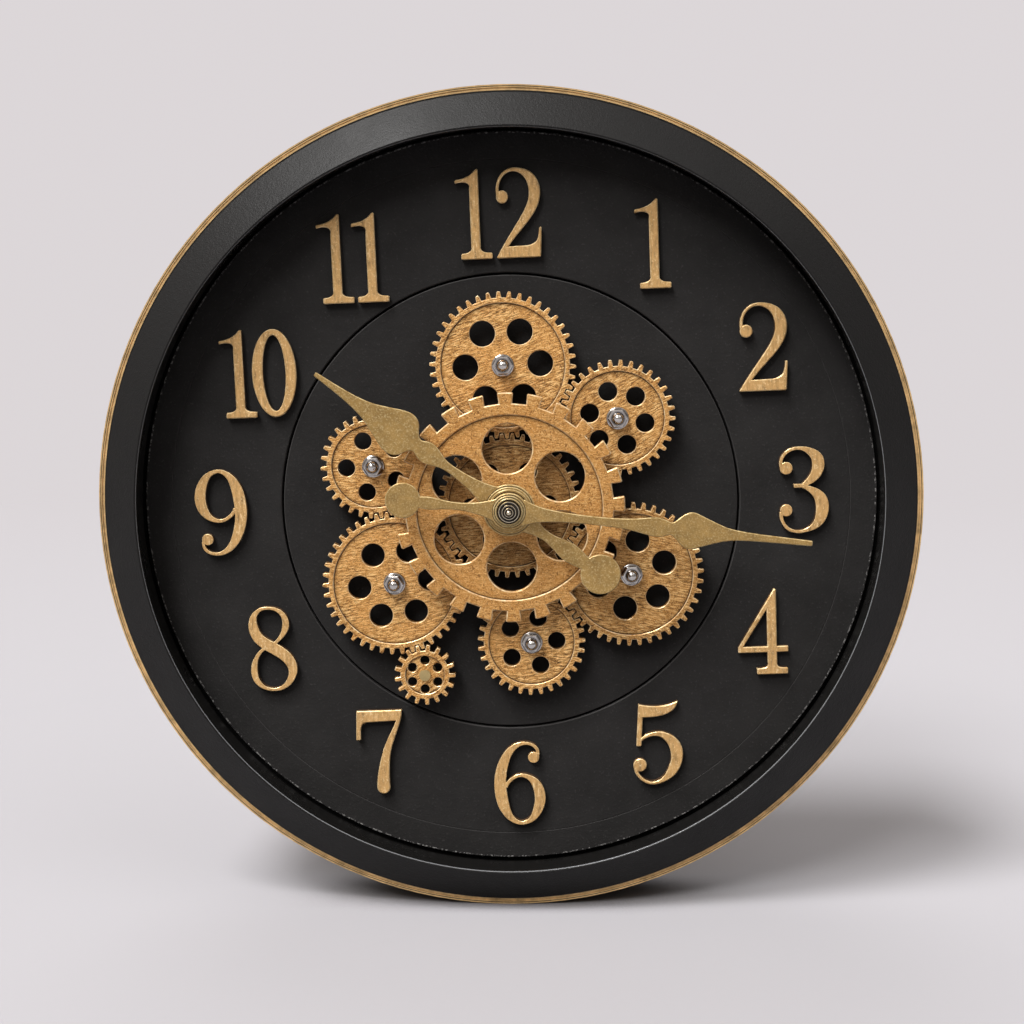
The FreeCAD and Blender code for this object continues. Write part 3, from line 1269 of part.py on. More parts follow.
def motor_switch():
    """A sliding switch: a nub through the lid's slot on a flange that stays inside."""
    body = new_body("motor_switch")
    inner = f"{LID_FRONT} - switch_fit"
    centre = ("switch_across", "-(motor_centre_rise + switch_drop)")
    flange = new_sketch(body, "XZ_Plane", f"-({inner})")
    draw_box(flange, "switch_width + 2 * switch_flange", "switch_height + 2 * switch_flange", *centre)
    pad(body, flange, "lid_thickness")
    nub = new_sketch(body, "XZ_Plane", f"-({MODULE_BACK} + switch_rise)")
    draw_box(nub, "switch_width", "switch_height", *centre)
    pad(body, nub, f"({MODULE_BACK} + switch_rise) - ({inner})")
    return seat(body, *motor_place())


def cell(label, place):
    """A round cell lying on its side, its small pole to the right."""
    body = new_body(label)
    sketch = new_sketch(body, "XY_Plane")
    left, right = "-(cell_length + cell_nub_length) / 2", "(cell_length - cell_nub_length) / 2"
    tip = f"{right} + cell_nub_length"
    draw_outline(sketch, [
        (left, "0"), (tip, "0"), (tip, "cell_nub_radius"), (right, "cell_nub_radius"),
        (right, "cell_radius"), (left, "cell_radius"),
    ])
    step = body.newObject("PartDesign::Revolution", f"{label}_turning")
    step.Profile = sketch
    step.ReferenceAxis = (sketch, ["H_Axis"])
    step.Angle = 360
    depth = f"{BOARD_BACK} + module_wall + cell_radius + clear_gap"
    return seat(body, *place, f"-({depth})")


def cell_contacts():
    """The metal strips at both ends of each cell, between it and the wall of its bay."""
    strip = new_body("contact_strip")
    thickness = "(bay_length - cell_length - cell_nub_length) / 2"
    sketch = new_sketch(strip, "XZ_Plane")
    draw_box(sketch, thickness, "contact_width")
    pad(strip, sketch, "contact_length")
    reach = f"(bay_length - {thickness}) / 2"
    across, up = motor_place()
    places = [(f"-{reach}", MOVEMENT_BAY), (reach, MOVEMENT_BAY),
              (f"{across} - {reach}", f"{up} + {MOTOR_BAY}"), (f"{across} + {reach}", f"{up} + {MOTOR_BAY}")]
    return copies("cell_contacts", strip, places, f"-({BOARD_BACK} + module_wall + contact_length)")


def drive_wheel():
    body = plain_gear("drive_wheel", "drive_module", "drive_wheel_teeth", "drive_wheel_thickness",
                      "stud_radius")
    return seat(body, *GEAR_PLACES["top"], "-(drive_wheel_depth + drive_wheel_thickness)")


MOTOR_OFFSET = "drive_module * (drive_wheel_teeth + drive_pinion_teeth) / 2"


def motor_axis():
    across, up = GEAR_PLACES["top"]
    return f"{across} - {MOTOR_OFFSET}", up


def drive_motor():
    """The motor's round can, resting on the lid, with a hole for its shaft."""
    body = new_body("drive_motor")
    front = f"{LID_FRONT} - motor_can_length"
    bore = "motor_shaft_radius + running_clearance"
    revolve(body, [
        (bore, f"-({LID_FRONT})"), ("motor_can_radius", f"-({LID_FRONT})"),
        ("motor_can_radius", f"-({front})"), (bore, f"-({front})"),
    ])
    return seat(body, *motor_axis())


def motor_pinion():
    turn = meshing_turn("drive_wheel_teeth", "0", "180", "drive_pinion_teeth")
    pinion = plain_gear("pinion_rim", "drive_module", "drive_pinion_teeth", "drive_wheel_thickness",
                        "motor_shaft_radius", turn)
    seat(pinion, *motor_axis(), "-(drive_wheel_depth + drive_wheel_thickness)")
    low = f"-({LID_FRONT} - end_play)"
    shaft = turned("motor_shaft", [
        ("0", low), ("motor_shaft_radius", low), ("motor_shaft_radius", "-drive_wheel_depth"),
        ("0", "-drive_wheel_depth"),
    ])
    seat(shaft, *motor_axis())
    return joined("motor_pinion", [pinion, shaft])


def build():
    """Every node of the clock, in the order of assembly."""
    nodes = [seat(piece) for piece in (front_bezel(), trim_ring(), retaining_ring(), dial_ring(),
                                       gear_plate(), carrier_board(), case_drum(), back_cover())]
    nodes += [case_screws(), wall_hanger(), rear_feet()]
    nodes += [numeral(hour) for hour in NUMERAL_PLACE_SHARES]
    running = "stud_radius + running_clearance"
    nodes += [wooden_gear(name, running) for name in POST_GEARS]
    nodes += [wooden_gear("tiny", "tiny_pin_radius + running_clearance"), wooden_gear("top", "stud_radius"),
              wooden_gear("sun", "sleeve_radius"), coarse_gear(), seat(centre_sleeve()), gear_posts()]
    places = [GEAR_PLACES[name] for name in POST_GEARS]
    washer_seat = "gear_height + gear_thickness - gear_recess + end_play"
    nut_seat = f"{washer_seat} + washer_thickness"
    nodes.append(copies("post_washers", washer_form("washer_form", "stud_radius"), places, washer_seat))
    nodes.append(copies("post_nuts", domed_nut_form("nut_form"), places, nut_seat))
    driven_seat = "gear_height + gear_thickness - gear_recess"
    nodes.append(seat(washer_form("drive_washer", "stud_radius"), *GEAR_PLACES["top"], driven_seat))
    nodes.append(seat(domed_nut_form("drive_nut"), *GEAR_PLACES["top"], f"{driven_seat} + washer_thickness"))
    nodes += [drive_arbor(), drive_wheel(), drive_motor(), motor_pinion(), motor_case(), motor_lid(),
              motor_switch()]
    nodes += [seat(movement_bush()), neck_nut(), seat(neck_collar()), movement_case(), movement_lid()]
    nodes += [hour_wheel(), minute_arbor(), motion_wheel(), setting_knob()]
    nodes.append(hand("hour_hand", HOUR_ARM_SHARES, HOUR_TAIL_SHARES, "pipe_radius",
                      "hour_height", "-hour_angle"))
    nodes.append(hand("minute_hand", MINUTE_ARM_SHARES, MINUTE_TAIL_SHARES, "arbor_radius",
                      "minute_height", "minute_angle"))
    nodes.append(seat(hand_nut()))
    nodes.append(cell("clock_cell", ("0", MOVEMENT_BAY)))
    across, up = motor_place()
    nodes.append(cell("motor_cell", (across, f"{up} + {MOTOR_BAY}")))
    nodes.append(cell_contacts())
    return nodes


def check(nodes):
    """Stops the build if a step failed or a piece is not a sound solid."""
    for item in doc.Objects:
        if "Invalid" in item.State or "Error" in item.State:
            raise RuntimeError(f"{item.Name} failed: {item.State}")
    for node in nodes:
        if node.Shape.isNull() or not node.Shape.isValid() or not node.Shape.Solids:
            raise RuntimeError(f"{node.Label} is not a sound solid")


def main():
    nodes = build()
    doc.recompute()
    check(nodes)
    os.makedirs("parts", exist_ok=True)
    for node in nodes:
        node.Shape.exportStep(f"parts/{node.Label}.step")
        print(f"{node.Label}: {len(node.Shape.Solids)} solid(s), {node.Shape.Volume:.1f} mm3")
    print(len(nodes), "nodes")


main()
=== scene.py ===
"""Looks of a wooden gear clock: gold-painted gears and numerals with worn edges, spade hands,
polished domed nuts, a black case with a gold rim, and the plain studio around it.

Every piece keeps the clock's own frame, in metres: +Z up, the dial looks along -Y.
"""

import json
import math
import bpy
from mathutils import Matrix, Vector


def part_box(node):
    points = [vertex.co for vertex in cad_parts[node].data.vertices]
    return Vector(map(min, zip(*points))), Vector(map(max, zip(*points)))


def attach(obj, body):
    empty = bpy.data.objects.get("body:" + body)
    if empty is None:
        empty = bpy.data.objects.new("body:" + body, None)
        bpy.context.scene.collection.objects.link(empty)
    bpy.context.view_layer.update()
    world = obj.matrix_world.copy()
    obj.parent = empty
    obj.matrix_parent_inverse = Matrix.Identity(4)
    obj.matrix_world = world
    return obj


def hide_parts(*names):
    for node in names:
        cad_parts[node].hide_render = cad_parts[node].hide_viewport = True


bl_info = {
    "name": "Wooden gear clock",
    "version": (1, 0, 0),
    "blender": (4, 5, 0),
    "location": "View3D > Sidebar > Clock",
    "description": "Finishes, worn edges, fittings and studio of a wooden gear clock",
    "category": "Object",
}

import bmesh
import bpy
from bpy.props import FloatProperty, FloatVectorProperty, IntProperty, PointerProperty
from mathutils import Matrix, Vector

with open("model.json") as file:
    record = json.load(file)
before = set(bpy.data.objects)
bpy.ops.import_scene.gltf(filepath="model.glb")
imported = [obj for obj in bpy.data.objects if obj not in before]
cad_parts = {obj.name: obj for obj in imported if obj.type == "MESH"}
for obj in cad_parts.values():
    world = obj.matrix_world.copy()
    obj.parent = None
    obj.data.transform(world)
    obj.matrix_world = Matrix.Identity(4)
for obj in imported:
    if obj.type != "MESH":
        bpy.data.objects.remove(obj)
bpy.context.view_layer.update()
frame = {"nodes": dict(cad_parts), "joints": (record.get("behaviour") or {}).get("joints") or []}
NODES = frame["nodes"]
AXES = {joint["name"]: Vector(joint["pos_m"]) for joint in frame["joints"] if "pos_m" in joint}
HUB = AXES["minute_spin"]
DIAL_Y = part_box("dial_ring")[0].y
POST_GEARS = ("upper_right", "lower_right", "bottom", "lower_left", "left")

# Coloured rings round the hub, inner and outer radius, and how wide their sides fade: a painted highlight
# on the bezel's lip, chipped dial paint, painted shade in the rim's groove, the black lapping the rim,
# painted shade at the hands' steps
RING_SOFTNESS = 0.00008
LIP_HIGHLIGHT = (0.1475, 0.1478)
DIAL_CHIPS = (0.1474, 0.1483)
RIM_GROOVE_SHADE = (0.1641, 0.1645)
RIM_LAP = (0.0, 0.1627)
HUB_STEPS = {"hour": ((0.0093, 0.0096), (0.0072, 0.0076)),
             "minute": ((0.0063, 0.0066), (0.0054, 0.00565), (0.0042, 0.0048))}

# Painted shade at the foot of the hub's steps, in grooves and in corners, how far the corner shade
# reaches, the grey of the painted highlight on the bezel's lip, and greys where black paint is chipped
HUB_STEP_SHADE = (0.022, 0.016, 0.010)
GROOVE_SHADE = (0.020, 0.015, 0.009)
NUT_CORNER_SHADE = (0.040, 0.028, 0.018)
GEAR_SHADE_REACH, NUT_SHADE_REACH = 0.0016, 0.0011
LIP_HIGHLIGHT_GREY = (0.17, 0.175, 0.185)
CHIP_GREY = (0.20, 0.195, 0.19)

# Colour and roughness of the plain fittings
METALS = {"Plated steel": ((0.62, 0.60, 0.54), 0.30), "Turned steel": ((0.62, 0.62, 0.63), 0.22),
          "Dull washer": ((0.34, 0.27, 0.18), 0.34), "Zinc plate": ((0.60, 0.60, 0.62), 0.30),
          "Nickel plate": ((0.68, 0.67, 0.62), 0.25), "Tip of the arbor": ((0.60, 0.54, 0.42), 0.14)}
# The last moulding is painted shade for the walls of grooves
MOULDINGS = {"Black moulding": ((0.022, 0.022, 0.023), 0.42), "Grey moulding": ((0.050, 0.050, 0.052), 0.5),
             "White moulding": ((0.72, 0.71, 0.67), 0.35), "Knob moulding": ((0.42, 0.42, 0.42), 0.45),
             "Rubber": ((0.018, 0.018, 0.018), 0.8), "Dirt in the grooves": (GROOVE_SHADE, 0.6)}
CELL_SLEEVE, CELL_BAND, SLEEVE_SCUFF = (0.030, 0.031, 0.034), (0.62, 0.33, 0.14), (0.6, 0.6, 0.6)
BAND_SHARE, BAND_SOFTNESS = 0.32, 0.0004

# Each gear's grain in degrees, how much painted shade darkens its paint, and the body that it turns with
GRAIN_TURNS = {"top": 17.0, "upper_right": 24.0, "lower_right": -12.0, "bottom": 6.0, "lower_left": 9.0,
               "left": -4.0, "tiny": 30.0, "sun": 2.0, "coarse": -8.0}
GEAR_SHADING = {"sun": 0.55, "lower_right": 0.80, "upper_right": 0.92, "coarse": 0.92}
GEAR_BODIES = {"top": "top_drive", "sun": "centre_wheels", "coarse": "centre_wheels"}


# What a user would change

def colour(name, words, red, green, blue):
    return FloatVectorProperty(name=name, description=words, subtype="COLOR", size=3, min=0.0, max=1.0,
                               default=(red, green, blue))


def length(name, words, value):
    return FloatProperty(name=name, description=words, unit="LENGTH", min=0.0, default=value)


def share(name, words, value):
    return FloatProperty(name=name, description=words, subtype="FACTOR", min=0.0, max=1.0, default=value)


def angle(name, words, degrees):
    return FloatProperty(name=name, description=words, subtype="ANGLE", default=math.radians(degrees))


def number(name, words, value):
    return FloatProperty(name=name, description=words, default=value)


class ClockColours(bpy.types.PropertyGroup):
    """Colours of the clock's finishes"""

    gear_gold: colour("Gear gold", "Paint of the gears", 0.56, 0.268, 0.070)
    gear_dark: colour("Gear grain", "Dark streaks in the gears", 0.075, 0.029, 0.009)
    gear_light: colour("Gear highlight", "Pale streaks in the gears", 1.00, 0.68, 0.30)
    gear_edge: colour("Worn gear edge", "Edges where the gears' paint has worn", 0.98, 0.80, 0.50)
    numeral_gold: colour("Numeral gold", "Paint of the numerals", 0.58, 0.345, 0.130)
    numeral_edge: colour("Worn numeral edge", "Edges where the numerals' paint has worn", 1.00, 0.78, 0.44)
    # The numerals' sides: darker paint together with painted shade
    numeral_side: colour("Numeral side", "Darker sides of the numerals", 0.060, 0.030, 0.012)
    hand_gold: colour("Hand gold", "Rough metallic paint of the hands", 0.375, 0.236, 0.077)
    hand_edge: colour("Hand edge", "Bare edges of the hands", 0.74, 0.59, 0.31)
    rim_gold: colour("Rim gold", "The thin rim round the case", 0.62, 0.41, 0.185)
    case_black: colour("Case black", "Paint of the bezel and the case", 0.0048, 0.0045, 0.0042)
    dial_black: colour("Dial black", "Paint of the two dial panels", 0.0200, 0.0192, 0.0190)
    chrome: colour("Chrome", "Domed nuts and the drive arbor", 0.58, 0.56, 0.54)
    brass: colour("Brass", "Posts, neck and sleeve", 0.56, 0.43, 0.20)
    board: colour("Board", "Raw board of the back cover", 0.300, 0.195, 0.110)
    floor: colour("Floor", "Paper under the clock", 0.400, 0.392, 0.416)
    bounce: colour("Bounce", "The floor as the light meets it", 0.16, 0.155, 0.16)
    backdrop: colour("Backdrop", "What the camera sees behind the clock", 0.716, 0.676, 0.690)
    lamp: colour("Lamp", "Light of the lamps", 1.00, 0.99, 0.98)
    room: colour("Room", "Light from all round", 1.00, 0.91, 0.82)


class ClockSizes(bpy.types.PropertyGroup):
    """Small sizes of the clock's looks"""

    gear_edge: length("Gear edge", "Width of the worn edge of a gear", 0.00028)
    coarse_edge: length("Large gear edge", "Width of the worn edge of the large gear", 0.00045)
    numeral_edge: length("Numeral edge", "Width of the worn edge of a numeral", 0.00038)
    hand_edge: length("Hand edge", "Width of the bare edge of a hand", 0.00030)
    fitting_edge: length("Fitting edge", "Rounding of small plastic and metal pieces", 0.00025)
    nut_flats: length("Nut", "Width across the flats of a domed nut", 0.0070)
    nut_height: length("Nut height", "Height of the hexagon of a domed nut", 0.0032)
    dome_radius: length("Dome", "Radius of a nut's dome", 0.0023)
    screw_circle: length("Screw circle", "Radius of the circle of case screws", 0.155)
    screw_head: length("Screw head", "Radius of a screw head", 0.0030)
    screw_sink: length("Screw head height", "Height of a screw head", 0.0016)
    screw_count: IntProperty(name="Screws", description="Screws round the back cover", min=3, default=6)


class ClockStudio(bpy.types.PropertyGroup):
    """Camera and light"""

    distance: length("Distance", "From the camera to the dial", 0.650)
    azimuth: angle("Azimuth", "Camera to the right of the dial's axis", 0.89)
    elevation: angle("Elevation", "Camera above the dial's axis", 6.80)
    tilt: angle("Tilt", "Turn of the view about the dial's axis", -2.25)
    aim_across: length("Aim across", "Sideways from the hub to the point looked at", 0.00100)
    aim_drop: length("Aim drop", "From the hub down to the point looked at", 0.00417)
    lens: number("Lens", "Focal length on a 36 mm sensor, in mm", 56.26)
    shift_across: number("Shift across", "Sideways shift of the picture", -0.0006)
    shift_up: number("Shift up", "Upward shift of the picture", 0.0019)
    fill: share("Fill", "Strength of the light from all round", 0.11)
    glow: share("Glow", "Strength of the soft light around the key light", 0.55)
    melt_start: length("Melt start", "Where the floor starts to melt into the background", 0.45)
    melt_end: length("Melt end", "Where the floor has melted into the background", 1.6)


# Each lamp's place to the left of the dial's axis and above the floor, its irradiance and its width
LAMP_PARTS = ("azimuth", "elevation", "strength", "spread")
LAMPS = {"key": (42.0, 60.0, 3.15, 20.0), "front": (25.0, 42.0, 1.6, 20.0),
         "rear": (165.0, 55.0, 0.70, 40.0), "side": (-48.0, 50.0, 0.4, 40.0)}
LAMP_WORDS = ("{} light to the left of the dial's axis", "{} light above the floor",
              "Irradiance of the {} light", "Apparent width of the {} light")

for lamp, values in LAMPS.items():
    for part, words, value in zip(LAMP_PARTS, LAMP_WORDS, values):
        make = number if part == "strength" else angle
        ClockStudio.__annotations__[f"{lamp}_{part}"] = make(
            f"{lamp} {part}".capitalize(), words.format(lamp).capitalize(), value)


# Nodes

def put(tree, socket, value):
    """Links a socket to another one, or gives it a number, a vector or a colour."""
    if isinstance(value, bpy.types.NodeSocket):
        tree.links.new(value, socket)
    elif socket.type == "RGBA":
        socket.default_value = (*value, 1.0)
    else:
        socket.default_value = value


def add_node(tree, kind, inputs=(), **settings):
    """A node with its settings, and its inputs by name or number as values or sockets."""
    node = tree.nodes.new(kind)
    for key, value in settings.items():
        setattr(node, key, value)
    for key, value in dict(inputs).items():
        put(tree, node.inputs[key], value)
    return node


def combine(tree, operation, first, second, **settings):
    """A sum, difference, product or quotient of two numbers or sockets."""
    node = add_node(tree, "ShaderNodeMath", {0: first, 1: second}, operation=operation, **settings)
    return node.outputs[0]


def combine_vectors(tree, operation, first, second):
    node = add_node(tree, "ShaderNodeVectorMath", {0: first, 1: second}, operation=operation)
    return node.outputs[0]


def reach_of(tree, vector):
    return add_node(tree, "ShaderNodeVectorMath", {0: vector}, operation="LENGTH").outputs["Value"]


def noise(tree, place, fineness, detail, roughness, distortion=0.0):
    return add_node(tree, "ShaderNodeTexNoise", {
        "Vector": place, "Scale": fineness, "Detail": detail, "Roughness": roughness,
        "Distortion": distortion}).outputs["Fac"]


def spread(tree, source, out_low, out_high, low=0.0, high=1.0):
    """Carries a value from one range to another, and no further."""
    return add_node(tree, "ShaderNodeMapRange", {
        "Value": source, "From Min": low, "From Max": high, "To Min": out_low,
        "To Max": out_high}).outputs["Result"]


def mix(tree, factor, first, second):
    """Mixes two colours, each a socket or three numbers, by a socket or a number."""
    return add_node(tree, "ShaderNodeMix", {0: factor, 6: first, 7: second}, data_type="RGBA").outputs[2]


def cover(tree, base, over, source, most, low=0.0, high=1.0):
    """Lays a colour over another one, more and more as a value runs from low to high."""
    return mix(tree, spread(tree, source, 0.0, most, low, high), base, over)


def ramp(tree, source, stops):
    """Turns a value into a colour along stops of (position, colour)."""
    node = add_node(tree, "ShaderNodeValToRGB", {0: source})
    elements = node.color_ramp.elements
    while len(elements) < len(stops):
        elements.new(0.5)
    for element, (position, value) in zip(elements, stops):
        element.position = position
        element.color = (*value, 1.0)
    return node.outputs[0]


def scaled(value, factor):
    return tuple(min(1.0, part * factor) for part in value)


# Sockets of groups that aren't plain numbers
SOCKET_KINDS = {"Place": "Vector", "Centre": "Vector", "Geometry": "Geometry", "Part": "Object",
                "Material": "Material", "Count": "Int"}


def new_group(name, inputs, outputs, kind="ShaderNodeTree"):
    """An empty group of nodes, what comes into it and what leaves it."""
    tree = bpy.data.node_groups.new(name, kind)
    for way, labels in (("INPUT", inputs), ("OUTPUT", outputs)):
        for label in labels:
            socket_type = f"NodeSocket{SOCKET_KINDS.get(label, 'Float')}"
            tree.interface.new_socket(label, in_out=way, socket_type=socket_type)
    return tree, tree.nodes.new("NodeGroupInput").outputs, tree.nodes.new("NodeGroupOutput").inputs


# Shader groups: each puts out values that change over the surface

def grain_group():
    """Streaks of wood grain along a direction in the dial's plane."""
    tree, start, end = new_group("Wood grain", ["Place", "Direction", "Fineness", "Stretch"],
                                 ["Streaks", "Pores"])
    turn = add_node(tree, "ShaderNodeCombineXYZ", {"Y": start["Direction"]}).outputs[0]
    turned = add_node(tree, "ShaderNodeVectorRotate", {"Vector": start["Place"], "Rotation": turn},
                      rotation_type="EULER_XYZ").outputs[0]
    along = combine(tree, "DIVIDE", start["Fineness"], start["Stretch"])
    scale = add_node(tree, "ShaderNodeCombineXYZ", {"X": along, "Y": along, "Z": start["Fineness"]})
    stretched = combine_vectors(tree, "MULTIPLY", turned, scale.outputs[0])
    finer = combine_vectors(tree, "MULTIPLY", stretched, (2.6, 2.6, 2.6))
    put(tree, end["Streaks"], noise(tree, stretched, 1.0, 5.0, 0.62, 0.35))
    put(tree, end["Pores"], noise(tree, finer, 1.0, 3.0, 0.7))
    return tree


def blotch_group():
    """Soft uneven patches, such as brushed-on paint and handling leave."""
    tree, start, end = new_group("Blotches", ["Place", "Fineness", "Contrast"], ["Blotches"])
    centred = combine(tree, "SUBTRACT", noise(tree, start["Place"], start["Fineness"], 6.0, 0.65), 0.5)
    widened = add_node(tree, "ShaderNodeMath", {0: centred, 1: start["Contrast"], 2: 0.5},
                       operation="MULTIPLY_ADD", use_clamp=True)
    put(tree, end["Blotches"], widened.outputs[0])
    return tree


def grit_group():
    """The fine grit of textured paint and cast metal: a height and a sparse pale fleck."""
    tree, start, end = new_group("Grit", ["Place", "Fineness", "Flecks"], ["Height", "Fleck"])
    fine = noise(tree, start["Place"], start["Fineness"], 2.0, 0.6)
    coarse = noise(tree, start["Place"], combine(tree, "MULTIPLY", start["Fineness"], 0.35), 3.0, 0.6)
    put(tree, end["Height"], combine(tree, "ADD", fine, coarse))
    put(tree, end["Fleck"], spread(tree, fine, 0.0, 1.0, start["Flecks"], 0.80))
    return tree


def slope_group():
    """How far the surface turns away from the dial's axis: 0 on flat faces, 1 on walls."""
    tree, _, end = new_group("Slope", [], ["Slope"])
    normal = tree.nodes.new("ShaderNodeNewGeometry").outputs["True Normal"]
    depth = add_node(tree, "ShaderNodeSeparateXYZ", {0: normal}).outputs["Y"]
    facing = add_node(tree, "ShaderNodeMath", {0: depth}, operation="ABSOLUTE").outputs[0]
    put(tree, end["Slope"], combine(tree, "SUBTRACT", 1.0, facing, use_clamp=True))
    return tree


def band_group():
    """A ring round the hub in the dial's plane: 1 between two radii, 0 elsewhere."""
    tree, start, end = new_group("Band", ["Place", "Inner", "Outer"], ["Band"])
    from_hub = combine_vectors(tree, "SUBTRACT", start["Place"], HUB)
    reach = reach_of(tree, combine_vectors(tree, "MULTIPLY", from_hub, (1.0, 0.0, 1.0)))
    sides = []
    for larger, smaller in ((reach, start["Inner"]), (start["Outer"], reach)):
        beyond = combine(tree, "SUBTRACT", larger, smaller)
        sides.append(combine(tree, "DIVIDE", beyond, RING_SOFTNESS, use_clamp=True))
    put(tree, end["Band"], combine(tree, "MULTIPLY", *sides))
    return tree


GROUPS = {"band": band_group(), "grain": grain_group(), "blotches": blotch_group(), "grit": grit_group(),
          "slope": slope_group()}


def use_group(tree, which, inputs=()):
    return add_node(tree, "ShaderNodeGroup", inputs, node_tree=GROUPS[which]).outputs


def grain(tree, place, direction, fineness, stretch):
    """The streaks and the pores of wood."""
    outputs = use_group(tree, "grain", {
        "Place": place, "Direction": direction, "Fineness": fineness, "Stretch": stretch})
    return outputs["Streaks"], outputs["Pores"]


def blotches(tree, place, fineness, contrast):
    return use_group(tree, "blotches", {"Place": place, "Fineness": fineness, "Contrast": contrast})[0]


def grit(tree, place, fineness, flecks):
    """The height and the flecks of grit."""
    outputs = use_group(tree, "grit", {"Place": place, "Fineness": fineness, "Flecks": flecks})
    return outputs["Height"], outputs["Fleck"]


def band(tree, place, inner, outer):
    """1 on the ring between two radii round the hub."""
    return use_group(tree, "band", {"Place": place, "Inner": inner, "Outer": outer})[0]


def mottled(tree, place, value, fineness, contrast, dark, light):
    """Uneven patches, and a colour that is darker and lighter in them."""
    patches = blotches(tree, place, fineness, contrast)
    return patches, mix(tree, patches, scaled(value, dark), scaled(value, light))


def seen_rays(tree, reflected=None):
    """1 for what the camera sees, straight, off metal or through glass, and 0 for light on its way.
    A share may take less of it in reflections."""
    path = tree.nodes.new("ShaderNodeLightPath").outputs
    mirrored = path["Is Glossy Ray"]
    if reflected is not None:
        mirrored = combine(tree, "MULTIPLY", mirrored, reflected)
    straight = combine(tree, "ADD", path["Is Camera Ray"], mirrored)
    return combine(tree, "ADD", straight, path["Is Transmission Ray"], use_clamp=True)


# Finishes of this clock

def new_finish(name, roughness, metallic=0.0, specular=0.5):
    """A material with a principled shader, and the place on the piece that drives patterns."""
    material = bpy.data.materials.new(name)
    material.use_nodes = True
    tree = material.node_tree
    shader = tree.nodes["Principled BSDF"]
    for label, value in (("Roughness", roughness), ("Metallic", metallic),
                         ("Specular IOR Level", specular)):
        put(tree, shader.inputs[label], value)
    return material, tree, shader, tree.nodes.new("ShaderNodeTexCoord").outputs["Object"]


def lay_on(tree, shader, colour, roughness=None):
    """Gives a shader its varying colour and roughness."""
    put(tree, shader.inputs["Base Color"], colour)
    if roughness is not None:
        put(tree, shader.inputs["Roughness"], roughness)


def bump(tree, shader, height, strength, distance):
    node = add_node(tree, "ShaderNodeBump", {"Strength": strength, "Distance": distance, "Height": height})
    put(tree, shader.inputs["Normal"], node.outputs[0])


def grimy(tree, colour, dirt, reach):
    """Painted shade in the piece's own corners and recesses, darker where they are more closed in."""
    openness = add_node(tree, "ShaderNodeAmbientOcclusion", {"Distance": reach}, samples=8, only_local=True)
    return cover(tree, colour, dirt, openness.outputs["AO"], 0.9, 0.96, 0.68)


def ringed(tree, place, colour, rings):
    """Painted shade: dark rings at the foot of the steps round the hub."""
    for inner, outer in rings:
        colour = mix(tree, band(tree, place, inner, outer), colour, HUB_STEP_SHADE)
    return colour


def painted_wood(name, direction, gold, dark, light, grain_share=1.0):
    """Gold paint over wood: fine dark scratches along the grain, and pale and dark specks."""
    material, tree, shader, place = new_finish(name, 0.5, metallic=0.42, specular=0.25)
    streaks, pores = grain(tree, place, math.radians(direction), 2200.0, 6.5)
    height, fleck = grit(tree, place, 2100.0, 0.51)
    patches = blotches(tree, place, 70.0, 2.4)
    streaky = ramp(tree, streaks, [(0.385, dark), (0.45, scaled(gold, 0.58)), (0.505, gold), (0.62, light)])
    streaky = mix(tree, grain_share, gold, streaky)
    shaded = cover(tree, streaky, scaled(gold, 1.2), patches, 0.5, 0.2, 0.8)
    porous = cover(tree, shaded, dark, pores, 0.85, 0.40, 0.33)
    pitted = cover(tree, porous, scaled(dark, 1.8), height, 0.7, 0.90, 0.76)
    speckled = cover(tree, pitted, light, fleck, 0.8)
    # Painted shade in the wood's own corners and recesses
    lay_on(tree, shader, grimy(tree, speckled, scaled(dark, 0.6), GEAR_SHADE_REACH),
           spread(tree, streaks, 0.56, 0.34, 0.3, 0.7))
    bump(tree, shader, combine(tree, "ADD", streaks, height), 0.6, 0.0003)
    return material


def worn_edge(name, value, dark):
    """An edge where the paint has worn through, uneven along its length."""
    material, tree, shader, place = new_finish(name, 0.36, metallic=0.45)
    lay_on(tree, shader, mix(tree, blotches(tree, place, 420.0, 3.2), dark, value))
    return material


def numeral_paint(name, gold, edge):
    """Brushed gold paint with fine upright strokes and small pale flecks."""
    material, tree, shader, place = new_finish(name, 0.42, metallic=0.35)
    strokes, _ = grain(tree, place, math.radians(90.0), 900.0, 5.0)
    height, fleck = grit(tree, place, 1300.0, 0.56)
    patches = blotches(tree, place, 160.0, 3.0)
    base = ramp(tree, strokes, [(0.34, scaled(gold, 0.38)), (0.46, scaled(gold, 0.85)), (0.58, gold),
                                (0.70, scaled(edge, 0.9))])
    shaded = cover(tree, base, scaled(gold, 1.25), patches, 0.6, 0.1, 0.9)
    flecked = cover(tree, shaded, edge, fleck, 0.8)
    lay_on(tree, shader, flecked, spread(tree, patches, 0.52, 0.32))
    bump(tree, shader, height, 0.35, 0.0002)
    return material


def hand_paint(name, gold, edge, rings):
    """Rough metallic paint: an even olive gold broken up by fine bright grit."""
    material, tree, shader, place = new_finish(name, 0.42, metallic=0.65)
    height, fleck = grit(tree, place, 1500.0, 0.50)
    patches, base = mottled(tree, place, gold, 220.0, 2.4, 0.72, 1.25)
    flecked = cover(tree, base, edge, fleck, 0.75)
    # Painted shade: dark rings at the foot of the hub's steps
    lay_on(tree, shader, ringed(tree, place, flecked, rings), spread(tree, patches, 0.50, 0.34))
    bump(tree, shader, height, 0.45, 0.00018)
    return material


